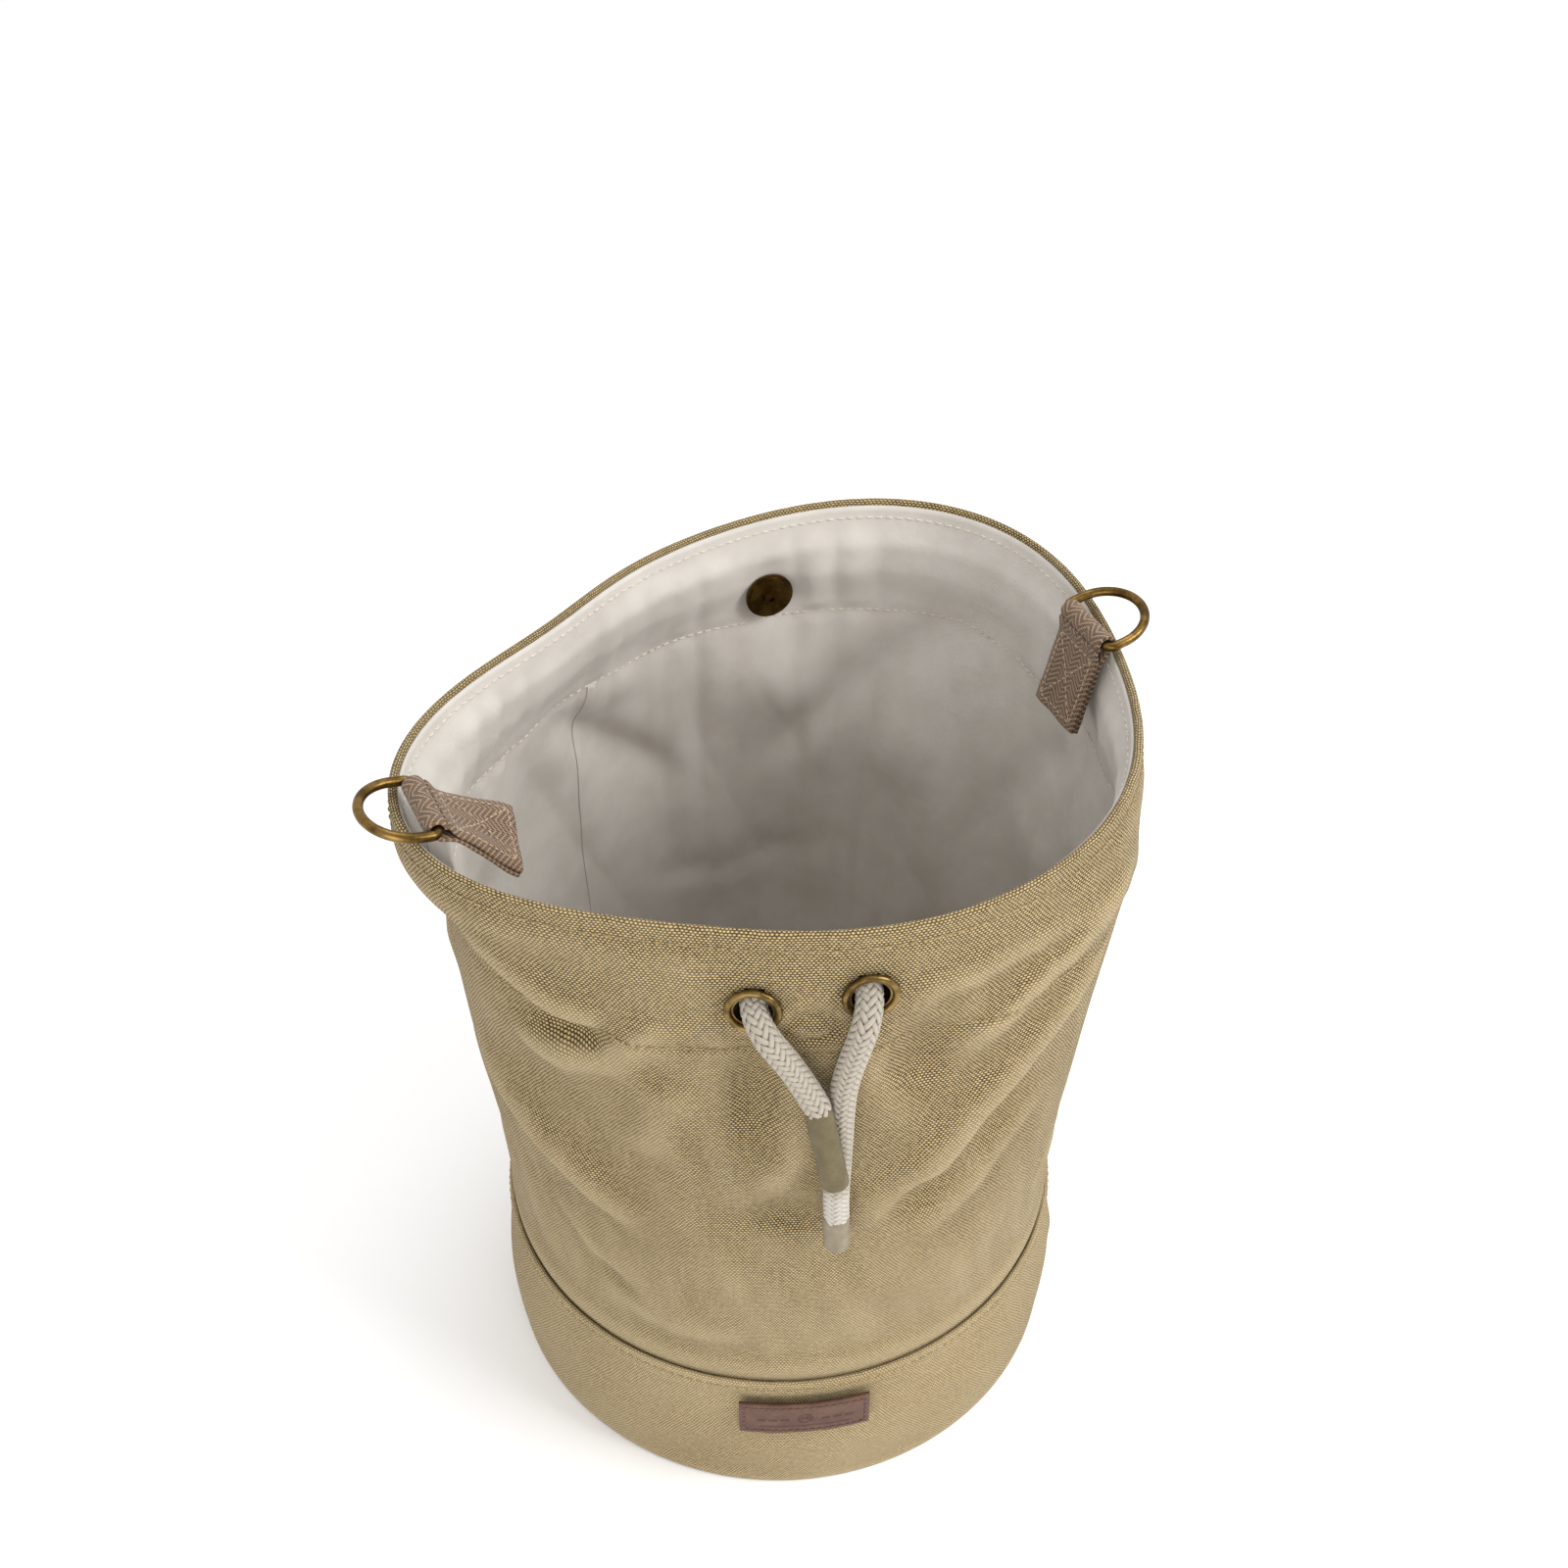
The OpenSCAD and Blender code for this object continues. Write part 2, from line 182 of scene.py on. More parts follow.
def canvas_material(name, thread, pit_shade, worn, across=0.00133, down=0.0009):
    """Heavy weave: rows of light floats, each row half a step along, with painted shade in the dark pits between
    them.
    """
    g = Graph(name, roughness=0.92, specular=0.2, sheen=0.08)
    g.shader.inputs["Sheen Roughness"].default_value = 0.6
    uv = g.uv()
    u, v, _ = g.split(uv)
    u = g.add(u, g.scaled(g.noise(uv, 110.0, 2.0), -0.0009, 0.0009))
    v = g.add(v, g.scaled(g.noise(uv, 80.0, 1.0), -0.0009, 0.0009))
    row = g.math("DIVIDE", v, down)
    odd = g.math("MODULO", g.math("FLOOR", row), 2.0)
    cell_u = g.math("FRACT", g.add(g.math("DIVIDE", u, across), g.times(odd, 0.5)))
    cell_u = g.math("DIVIDE", g.math("SUBTRACT", cell_u, 0.5), 0.46)
    cell_v = g.math("DIVIDE", g.math("SUBTRACT", g.math("FRACT", row), 0.5), 0.46)
    away = g.math("SQRT", g.add(g.math("POWER", cell_u, 2.0), g.math("POWER", cell_v, 2.0)))
    slubs = g.noise(uv, 520.0, 3.0, 0.7)
    fibre = g.noise(uv, 2600.0, 2.0, 0.7)
    away = g.add(away, g.scaled(slubs, -0.4, 0.4))
    floats = g.math("SUBTRACT", 1.0, g.step(away, 0.45, 1.15))
    # the wear attribute holds real wear on crests and painted shade in the hollows of folds
    wear_and_shade = g.attribute("wear_and_shade")
    blotch = g.step(g.noise(g.place(), 34.0, 4.0, 0.6), 0.35, 0.68)
    wear_shade_here = g.math("MINIMUM", g.add(wear_and_shade, g.scaled(blotch, -0.08, 0.14)), 1.0)
    # the pits between the floats get the dark pit colour, which is painted shade, paler where worn
    deep = g.mix(wear_shade_here, pit_shade, g.mix(0.38, pit_shade, worn))
    raised = g.mix(g.math("MAXIMUM", g.times(wear_shade_here, 0.8), 0.0), thread, worn)
    base = g.mix(floats, deep, raised)
    # random dark fibres, tinted with the same painted shade colour
    base = g.mix(g.scaled(fibre, 0.0, 0.22), base, pit_shade)
    bumps = g.add(g.times(floats, g.scaled(wear_and_shade, 1.0, 0.5)),
                   g.times(fibre, 0.2))
    return g.finish(base, bumps, 0.0005, 0.9)


def cotton_material(name, light, shade):
    """Fine plain cotton: a faint thread grid and soft crumples, with painted shade in the crumples' low places."""
    g = Graph(name, roughness=0.9, specular=0.25, sheen=0.1)
    uv = g.uv()
    u, v, _ = g.split(uv)
    turn = 2 * math.pi
    threads = g.times(g.math("COSINE", g.times(u, turn / 0.0009)),
                     g.math("COSINE", g.times(v, turn / 0.0009)))
    crumple = g.noise(g.place(), 55.0, 5.0, 0.6)
    fleck = g.noise(g.place(), 700.0, 2.0, 0.7)
    # the shade colour goes where the crumple bump is low, which is painted shade
    base = g.mix(g.step(crumple, 0.3, 0.75), shade, light)
    base = g.mix(g.times(g.step(fleck, 0.66, 0.8), 0.35), base, rgb(196, 184, 164))
    height = g.add(g.times(threads, 0.06), g.times(crumple, 1.2))
    return g.finish(base, height, 0.0012, 0.5)


def thread_material(name, colour, dark):
    """Spun thread: tight diagonal plies, with painted shade in their low places."""
    g = Graph(name, roughness=0.75, specular=0.3, sheen=0.2)
    uv = g.place()
    plies = g.noise(uv, 1800.0, 2.0, 0.6)
    # the colour follows the plies' height, which paints shade where they are low
    return g.finish(g.mix(g.step(plies, 0.3, 0.7), dark, colour), plies, 0.0002, 0.6)


def brass_material(name, dark, light, rubbed):
    """Antiqued brass: dark in the hollows, rubbed brighter where hands reach it."""
    g = Graph(name, roughness=0.34, metallic=1.0)
    where = g.place()
    patina = g.noise(where, 160.0, 5.0, 0.65)
    scratch = g.noise(where, 1400.0, 3.0, 0.7)
    base = g.mix(g.step(patina, 0.36, 0.66), dark, light)
    base = g.mix(g.times(g.step(scratch, 0.6, 0.8), 0.35), base, rubbed)
    rough = g.scaled(patina, 0.4, 0.24)
    return g.finish(base, g.add(patina, g.times(scratch, 0.4)), 0.0001, 0.25, rough)


def cord_material(name, light, dark):
    """Natural cotton yarn, with fibres along each strand and painted shade between strands."""
    g = Graph(name, roughness=0.92, specular=0.2, sheen=0.25)
    uv = g.uv()
    u, _, _ = g.split(uv)
    yarns = g.math("ABSOLUTE", g.math("SINE", g.times(u, 2 * math.pi / 0.0013)))
    fibre = g.noise(g.place(), 2400.0, 3.0, 0.75)
    # the depth attribute is painted shade: dark where strands dive under and on their inner sides
    deep = g.attribute("depth")
    shade = g.add(g.times(deep, 0.75), g.times(fibre, 0.5))
    bleached = g.attribute("pale")
    base = g.mix(g.step(shade, 0.15, 0.95), dark, light)
    base = g.mix(g.times(bleached, 0.6), base, rgb(190, 184, 175))
    height = g.add(g.times(yarns, 0.35), fibre)
    return g.finish(base, height, 0.0003, 0.6)


def dip_material(name, colour, dark, streak=0.3):
    """A rubbery dip on a cord's end, with the braid just felt through it."""
    g = Graph(name, roughness=0.55, specular=0.4)
    where = g.place()
    cloud = g.noise(where, 260.0, 4.0, 0.6)
    fine = g.noise(where, 1500.0, 2.0, 0.6)
    base = g.mix(g.step(cloud, 0.3, 0.75), dark, colour)
    height = g.add(cloud, g.times(fine, streak))
    return g.finish(base, height, 0.0004, 0.5, g.scaled(cloud, 0.62, 0.48))


def webbing_material(name, light, dark):
    """Herringbone webbing: ribs that slant one way and then the other, with painted shade in the low places
    between them.
    """
    g = Graph(name, roughness=0.85, specular=0.3, sheen=0.2)
    uv = g.uv()
    u, v, _ = g.split(uv)
    column = g.math("PINGPONG", u, 0.0042)
    slant = g.add(v, g.times(column, 0.9))
    rib = g.math("SINE", g.times(slant, 2 * math.pi / 0.0021))
    warp = g.math("SINE", g.times(u, 2 * math.pi / 0.0009))
    fibre = g.noise(g.place(), 1500.0, 3.0, 0.7)
    height = g.add(g.scaled(rib, 0.1, 0.75), g.times(warp, 0.22))
    height = g.add(height, g.times(fibre, 0.45))
    # the colour follows the height, which paints shade where the ribs are low
    base = g.mix(g.step(height, 0.15, 0.95), dark, light)
    return g.finish(base, height, 0.0006, 0.9)


def leather_material(name, light, dark):
    """Pressed leather: fine pebble grain, darker in the pressed mark."""
    g = Graph(name, roughness=0.5, specular=0.45)
    where = g.place()
    pebble = g.node("ShaderNodeTexVoronoi", {"Vector": where, "Scale": 900.0},
                    feature="DISTANCE_TO_EDGE").outputs["Distance"]
    cloud = g.noise(where, 120.0, 4.0, 0.6)
    base = g.mix(g.step(cloud, 0.3, 0.7), dark, light)
    base = g.mix(g.times(g.attribute("pressed"), 0.7), base, rgb(60, 34, 26))
    height = g.add(g.step(pebble, 0.0, 0.25), cloud)
    return g.finish(base, height, 0.0002, 0.4, g.scaled(cloud, 0.58, 0.42))


def board_material(name):
    """Grey-brown pressed board."""
    g = Graph(name, roughness=0.9)
    speck = g.noise(g.place(), 500.0, 4.0, 0.7)
    return g.finish(g.mix(speck, rgb(120, 104, 80), rgb(150, 134, 106)), speck, 0.0003, 0.4)


def magnet_material(name):
    g = Graph(name, roughness=0.45, metallic=0.6)
    speck = g.noise(g.place(), 900.0, 3.0, 0.6)
    return g.finish(g.mix(speck, rgb(62, 60, 58), rgb(92, 90, 88)), speck, 0.0001, 0.3)


def floor_material(name):
    g = Graph(name, roughness=0.6, specular=0.2)
    cloud = g.noise(g.place(), 2.0, 2.0)
    return g.finish(g.mix(cloud, rgb(250, 250, 250), rgb(252, 252, 252)))


# the second colour of each canvas is the painted shade in the weave's pits
CANVAS = canvas_material("washed_canvas", rgb(199, 174, 122), rgb(52, 36, 13), rgb(192, 172, 132))
BAND = canvas_material("washed_band_canvas", rgb(204, 182, 134), rgb(84, 62, 28), rgb(197, 179, 140))
COTTON = cotton_material("lining_cotton", rgb(203, 198, 191), rgb(194, 188, 180))
LIGHT_THREAD = thread_material("light_thread", rgb(222, 215, 202), rgb(186, 176, 158))
CANVAS_THREAD = thread_material("canvas_thread", rgb(160, 138, 94), rgb(116, 95, 58))
TAUPE_THREAD = thread_material("taupe_thread", rgb(184, 164, 140), rgb(146, 124, 102))
BROWN_THREAD = thread_material("brown_thread", rgb(112, 80, 64), rgb(78, 54, 42))
BRASS = brass_material("antique_brass", rgb(84, 63, 30), rgb(136, 108, 60), rgb(192, 166, 110))
EYELET_BRASS = brass_material("eyelet_brass", rgb(80, 62, 32), rgb(140, 116, 70), rgb(206, 186, 136))
SNAP_BRASS = brass_material("snap_brass", rgb(72, 54, 24), rgb(116, 92, 46), rgb(160, 134, 82))
# the cord's dark colour is the painted shade between its strands
CORD = cord_material("natural_cord", rgb(166, 157, 143), rgb(58, 49, 38))
OLIVE_DIP = dip_material("olive_dip", rgb(100, 88, 58), rgb(86, 75, 48))
GREY_DIP = dip_material("grey_dip", rgb(132, 121, 100), rgb(118, 107, 88))
# the webbing's dark colour is the painted shade between its ribs
WEBBING = webbing_material("taupe_webbing", rgb(160, 131, 102), rgb(74, 53, 36))
LEATHER = leather_material("brown_leather", rgb(92, 60, 44), rgb(74, 46, 34))

# --- the bag's shape ---

BAG_H = 305.0
LAP_Z = 56.0
BAND_Z = 65.0
CHANNEL_Z = 256.0
PROFILE = ((0, 30, 66, 80, 125, 205, 262, 305), (110.5, 112, 108.5, 108.5, 112, 118, 121, 118))
LINING_DEPTH = ((0, 256, 276, 288, 299, 303), (2.8, 2.8, 7.8, 7.8, 3.8, 3.1))
LINING_TOP = BAG_H - 2
RIM_WAVES = ((1, 10, -42), (2, 13, 39), (3, 8, -46), (4, 2.5, 32), (5, 2, -17))
SKEW_FROM = 185.0
MEAN_R = 118.0
CANVAS_T = 1.4
GAP = 0.3                  # between the wall and the band sewn over it
HEM_T = 3.0
STEPS = 480


def smooth(t):
    t = np.clip(t, 0, 1)
    return t * t * (3 - 2 * t)


def rim_wave(a):
    return sum(h * np.cos(n * np.radians(a - p)) for n, h, p in RIM_WAVES)


def wall_r(z, a):
    """Radius of the plain wall: the CAD wall, with its corners softened."""
    profile = sum(np.interp(z + d, *PROFILE) for d in (-6, -3, 0, 3, 6)) / 5
    return profile + rim_wave(a) * smooth((z - SKEW_FROM) / (BAG_H - SKEW_FROM))


def turned(a, from_angle):
    """The angle from from_angle to a, between -180 and 180."""
    return (a - from_angle + 180) % 360 - 180


def crease(a, z, points, height, above, below):
    """A raised fold along a line of (angle, height) points: its two sides fall
    away over their own widths in mm, and it fades out at both ends."""
    x = turned(a, points[0][0]) * math.radians(MEAN_R)
    line = [(turned(p[0], points[0][0]) * math.radians(MEAN_R), p[1]) for p in points]
    lengths = [math.dist(p, q) for p, q in zip(line, line[1:])]
    nearest = np.full(np.broadcast(a, z).shape, 1e9)
    along = np.zeros_like(nearest)
    side = np.zeros_like(nearest)
    run = 0.0
    for (x0, z0), (x1, z1), length in zip(line, line[1:], lengths):
        dx, dz = (x1 - x0) / length, (z1 - z0) / length
        t = np.clip((x - x0) * dx + (z - z0) * dz, 0, length)
        away = np.hypot(x - x0 - t * dx, z - z0 - t * dz)
        hit = away < nearest
        nearest = np.where(hit, away, nearest)
        along = np.where(hit, run + t, along)
        side = np.where(hit, (x - x0) * -dz + (z - z0) * dx, side)
        run += length
    upper = side * (1 if line[-1][0] > line[0][0] else -1) > 0
    width = np.where(upper, above, below)
    ends = smooth(along / (0.3 * run)) * smooth((run - along) / (0.3 * run))
    return height * ends * np.exp(-(nearest / width) ** 2)


def dimple(a, z, at, depth, across, down):
    """A round bump (depth above 0) or hollow, with its half sizes in mm."""
    x = turned(a, at[0]) * math.radians(MEAN_R)
    return depth * np.exp(-(x / across) ** 2 - ((z - at[1]) / down) ** 2)


# (points, height, width above, width below) of the wall's folds
FRONT_FOLDS = (
    (((-26, 262), (-36, 253), (-47, 238), (-61, 210), (-69, 188), (-79, 167), (-84, 150)), 4.6, 11, 8),
    (((-162, 212), (-147, 188), (-132, 170), (-121, 155), (-115, 140)), 3.6, 11, 8),
    (((-146, 284), (-137, 272), (-128, 262), (-119, 256)), 2.6, 8, 4),
    (((-142, 234), (-131, 238), (-122, 245), (-115, 257), (-110, 268)), 3.2, 5, 11),
    (((-80, 268), (-70, 278), (-58, 282), (-42, 281), (-28, 287)), 1.8, 8, 6),
    (((-70, 236), (-61, 252), (-52, 267), (-42, 274), (-24, 281)), 2.8, 6, 9),
    (((-72, 142), (-60, 162), (-50, 178), (-40, 196)), 1.6, 12, 7),
    (((-152, 150), (-136, 132), (-124, 110), (-112, 96)), 1.3, 12, 7),
    (((-118, 190), (-113, 215), (-110, 240)), 1.6, 9, 9),
    (((-98, 180), (-92, 205), (-90, 232)), 1.4, 7, 7),
    (((-134, 100), (-116, 90), (-96, 94)), 1.0, 9, 6),
)
FRONT_DIMPLES = (
    ((-98.5, 236), -3.6, 10, 23), ((-73, 246), -3.2, 11, 17), ((-89.5, 267), -2.2, 7, 6),
    ((-94, 168), -2.6, 15, 11), ((-70, 172), -2.2, 15, 12), ((-128, 250), -2.8, 16, 6),
    ((-56, 190), -2.0, 15, 16), ((-141, 142), -1.4, 14, 11), ((-128, 105), -1.3, 16, 10),
    ((-134, 212), -1.6, 22, 20), ((-62, 120), 1.4, 34, 22), ((-105, 130), 1.0, 30, 20),
)
REST_FOLDS = (
    (((40, 268), (58, 244), (74, 214), (88, 186), (98, 168)), 3.8, 11, 8),
    (((150, 262), (136, 238), (122, 210), (110, 186), (102, 166)), 3.4, 8, 11),
    (((12, 250), (26, 226), (34, 196), (38, 160)), 2.6, 9, 9),
    (((-8, 270), (-4, 240), (6, 204), (14, 172)), 2.2, 9, 9),
    (((168, 270), (176, 236), (170, 204), (160, 176)), 2.6, 9, 9),
    (((196, 262), (188, 230), (186, 200)), 2.0, 8, 8),
    (((64, 156), (80, 138), (100, 128), (122, 136)), 1.6, 10, 7),
    (((20, 140), (36, 118), (54, 104)), 1.4, 9, 7),
    (((140, 150), (154, 126), (166, 108)), 1.4, 9, 7),
    (((180, 128), (192, 124), (206, 120)), -1.6, 4, 4),
    (((-10, 127), (-24, 122), (-38, 116)), -1.6, 4, 4),
)
REST_DIMPLES = (
    ((90, 232), -2.6, 18, 22), ((60, 200), -1.8, 18, 16), ((122, 246), -2.2, 14, 14),
    ((20, 190), -1.6, 16, 18), ((160, 220), -1.8, 14, 18), ((90, 110), 1.2, 34, 20),
    ((30, 262), -2.0, 12, 10), ((180, 160), 1.0, 24, 20),
)


def ripples(a, z, seed, count, around, rise):
    """Soft uneven undulation, the same all the way round: a sum of slanted waves."""
    chance = random.Random(seed)
    total = 0.0
    for _ in range(count):
        n = chance.randint(*around)
        k = chance.uniform(-rise, rise)
        total = total + np.cos(np.radians(a) * n + z * k + chance.uniform(0, 2 * math.pi))
    return total / math.sqrt(count)


# where fittings lie flat on the wall: (angle, height)
EYELETS = ((FRONT - 8.4, 276.0), (FRONT + 8.4, 281.0))
SNAP_SPOTS = ((87.0, 270.0), (FRONT, 270.0))


def flat_spots(a, z, spots, clear, blend):
    """0 on the fittings and 1 away from them."""
    kept = 1.0
    for angle, height in spots:
        x = turned(a, angle) * math.radians(MEAN_R)
        kept = kept * smooth((np.hypot(x, z - height) - clear) / blend)
    return kept


def relief(a, z):
    """How far the canvas stands out from the plain wall, in mm."""
    total = 1.3 * sum(crease(a, z, *fold) for fold in FRONT_FOLDS + REST_FOLDS)
    total = total + 2.0 * sum(dimple(a, z, *spot) for spot in FRONT_DIMPLES + REST_DIMPLES)
    total = total + dimple(a, z, (-165, 243), -6, 46, 26) + dimple(a, z, (-155, 266), -9, 42, 20)
    total = total + 0.5 * ripples(a, z, 5, 10, (3, 11), 0.05)
    total = total + 0.35 * ripples(a, z, 9, 12, (12, 26), 0.11)
    total = total + 0.12 * ripples(a, z, 6, 14, (24, 60), 0.2)
    total = total * smooth((298 - z) / 22) * smooth((z - 66) / 26)
    total = total * flat_spots(a, z, EYELETS, 8.5, 7)
    total = np.maximum(total, -0.9 - 25 * flat_spots(a, z, SNAP_SPOTS, 6.5, 12))
    channel = smooth((z - CHANNEL_Z) / 9) * smooth((BAG_H - 6 - z) / 10)
    total = total + 1.5 * channel * (0.6 + 0.4 * ripples(a, z * 0, 8, 5, (3, 8), 0)) \
        * flat_spots(a, z, ((FRONT, 278.0),), 26, 18)
    total = total + 1.2 * np.exp(-((z - 71) / 6) ** 2) * smooth((z - 64.5) / 3)
    pucker = np.exp(-((z - CHANNEL_Z) / 1.6) ** 2)
    return total - 0.5 * pucker - 0.25 * pucker * np.cos(np.radians(a) * 190)


def band_relief(a, z):
    """How far the lower band stands out from its plain place, in mm."""
    folds = (
        (((-146, 56), (-131, 26), (-119, 8)), 1.0, 6, 4), (((-112, 6), (-100, 22), (-92, 30)), 0.8, 5, 4),
        (((-70, 34), (-56, 40), (-42, 50)), 0.9, 6, 4), (((-66, 10), (-52, 20), (-36, 24)), 0.8, 6, 4),
        (((30, 52), (44, 30), (58, 12)), 0.9, 6, 4), (((96, 10), (110, 28), (120, 50)), 0.9, 6, 4),
        (((150, 48), (164, 26), (172, 10)), 0.9, 6, 4), (((-20, 50), (-8, 28), (6, 12)), 0.9, 6, 4),
    )
    total = sum(crease(a, z, *fold) for fold in folds)
    total = total + 0.4 * ripples(a, z, 15, 9, (4, 12), 0.08)
    total = total * smooth((61 - z) / 8) * smooth((z - 1) / 8)
    x = turned(a, FRONT) * math.radians(MEAN_R)
    outside_label = np.maximum(np.abs(x) - 26, np.abs(z - 48.5) - 10)
    swell = 0.2 * smooth(z / 16) * smooth((60 - z) / 26) * smooth(outside_label / 20)
    return total * smooth(outside_label / 9) + swell


def polar(r, a, z):
    """Points in metres from radius in mm, angle in degrees and height in mm."""
    r, a, z = np.broadcast_arrays(r, np.radians(a), z)
    return np.stack([r * np.cos(a), r * np.sin(a), z], -1) * MM


# --- mesh making ---


def new_piece(name, points, faces, material, uvs=None, body="bag", slot=None):
    """Makes a mesh object that rides on a body. uvs has one (u, v) per face corner."""
    mesh = bpy.data.meshes.new(name)
    mesh.from_pydata(np.asarray(points).reshape(-1, 3).tolist(), [], faces)
    if uvs is not None:
        layer = mesh.uv_layers.new(name="cloth")
        layer.data.foreach_set("uv", np.asarray(uvs, np.float32).ravel())
    mesh.polygons.foreach_set("use_smooth", [True] * len(mesh.polygons))
    mesh.materials.append(material)
    mesh.update()
    piece = bpy.data.objects.new(name, mesh)
    bpy.context.scene.collection.objects.link(piece)
    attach(piece, body)
    return piece


def grid_faces(rows, columns, wrap_rows, wrap_columns, keep=None):
    """Quads of a grid whose points run along each row, and the (row, column) of each corner."""
    i, j = np.meshgrid(np.arange(rows - (not wrap_rows)), np.arange(columns - (not wrap_columns)),
                       indexing="ij")
    if keep is not None:
        i, j = i[keep], j[keep]
    i, j = i.ravel(), j.ravel()
    corner_rows = np.stack([i, i, i + 1, i + 1], -1)
    corner_columns = np.stack([j, j + 1, j + 1, j], -1)
    faces = (corner_rows % rows) * columns + corner_columns % columns
    return faces, corner_rows, corner_columns


def capped(points):
    """Faces of a swept tube with its two ends closed, from points[ring][side]."""
    rings, count = points.shape[:2]
    faces, rows, columns = grid_faces(rings, count, False, True)
    ends = [list(range(count))[::-1], list(range((rings - 1) * count, rings * count))]
    return faces.tolist() + ends, rows, columns


def path_length(points):
    steps = np.linalg.norm(np.diff(points, axis=0), axis=-1)
    return np.concatenate([[0], np.cumsum(steps)])


def set_attribute(piece, name, values):
    layer = piece.data.attributes.new(name, "FLOAT", "POINT")
    layer.data.foreach_set("value", np.asarray(values, np.float32).ravel())


def ring_shell(name, outline, surface, material, slot, wear_and_shade=None, holes=()):
    """A closed shell round the bag. outline is a closed list of (depth, height)
    points in mm, outer foot first; surface(a, z) is the wall's radius there."""
    angles = np.arange(STEPS) * 360 / STEPS
    depth = np.array([p[0] for p in outline])[:, None]
    z = np.array([p[1] for p in outline], float)[:, None]
    a = angles[None, :]
    r = surface(a, z) - depth
    points = polar(r, a, z)
    keep = np.ones((len(outline), STEPS), bool)
    centre_z = (z + np.roll(z, -1, 0)) / 2
    centre_a = a + 180 / STEPS
    for angle, height, radius in holes:
        x = turned(centre_a, angle) * math.radians(MEAN_R)
        keep &= np.hypot(x, centre_z - height) > radius
    faces, rows, columns = grid_faces(len(outline), STEPS, True, True, keep)
    along = path_length(np.array(outline, float)[:, ::-1]) * MM
    along = np.append(along, along[-1] + 0.001)
    uvs = np.stack([columns * math.radians(360 / STEPS) * MEAN_R * MM, along[rows]], -1)
    piece = new_piece(name, points, faces.tolist(), material, uvs, slot=slot)
    if wear_and_shade is not None:
        set_attribute(piece, "wear_and_shade", wear_and_shade(a + 0 * z, z + 0 * a))
    return piece


# --- canvas ---


def crests(a, z, step):
    """How far each place stands above the places step mm around it."""
    swing = step / math.radians(MEAN_R)
    around = (relief(a + swing, z) + relief(a - swing, z) + relief(a, z + step) + relief(a, z - step)) / 4
    return relief(a, z) - around


def canvas_wear_and_shade(a, z):
    """Paler on the crests of folds, where the canvas is worn, along the rim and towards the foot; darker in
    hollows, which is painted shade.
    """
    fine, broad = crests(a, z, 3.0) * 1.3, crests(a, z, 9.0) * 0.3
    patch = ripples(a, z, 21, 8, (2, 7), 0.04)
    foot = smooth((175 - z) / 90)
    # fine and broad below 0 darken the hollows as painted shade; above 0 they pale the crests as wear
    return np.clip(0.22 + np.clip(fine, -0.15, 0.5) + np.clip(broad, -0.3, 0.35) + 0.06 * patch
                   + 0.42 * foot, 0, 1)


def outer_rows(low, high, count):
    return [(0.0, z) for z in np.linspace(low, high, count)]


def make_upper_canvas():
    rows = outer_rows(LAP_Z, BAG_H - 1.6, 150)
    roll = HEM_T / 2
    hem = [(roll - roll * math.cos(t), BAG_H - 1.6 + 1.6 * math.sin(t))
           for t in np.radians([30, 60, 90, 120, 150])]
    inside = [(HEM_T, BAG_H - 1.6), (HEM_T, BAG_H - 5), (HEM_T, BAG_H - 9), (HEM_T - 0.4, BAG_H - 10),
              (CANVAS_T, BAG_H - 10.4)]
    back = [(CANVAS_T, z) for _, z in reversed(rows) if z < BAG_H - 11]
    piece = ring_shell("upper_canvas_cloth", rows + hem + inside + back,
                       lambda a, z: wall_r(z, a) + relief(a, z), CANVAS, "canvas", canvas_wear_and_shade,
                       [(angle, height, 7.2) for angle, height in EYELETS])
    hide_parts("upper_canvas")


def make_lower_band():
    face = -CANVAS_T - GAP
    rows = [(face, z) for z in np.concatenate([[0, 0.4, 1.2, 2.4], np.linspace(4, BAND_Z - 8, 34)])]
    rows[0] = (face + 1.0, 0.0)
    rows[1] = (face + 0.35, 0.25)
    fold = [(face - 0.5, BAND_Z - 7), (face - 0.8, BAND_Z - 5.5), (face - 0.8, BAND_Z - 3.6),
            (face - 0.55, BAND_Z - 3), (face - 0.8, BAND_Z - 2.4), (face - 0.8, BAND_Z - 1.2),
            (face - 0.55, BAND_Z - 0.4), (face, BAND_Z), (-0.9, BAND_Z - 0.1), (-0.4, BAND_Z - 0.8)]
    back = [(-0.3, z) for z in np.linspace(BAND_Z - 4, 1, 24)] + [(-0.3, 0.0)]
    piece = ring_shell("lower_band_cloth", rows + fold + back,
                       lambda a, z: wall_r(z, a) + band_relief(a, z), BAND, "band_canvas",
                       lambda a, z: np.clip(0.4 + 0.15 * ripples(a, z, 22, 8, (2, 9), 0.06)
                                            + 0.5 * smooth((6 - z) / 6)
                                            + 0.3 * smooth((z - BAND_Z + 3) / 2), 0, 1))
    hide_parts("lower_band")


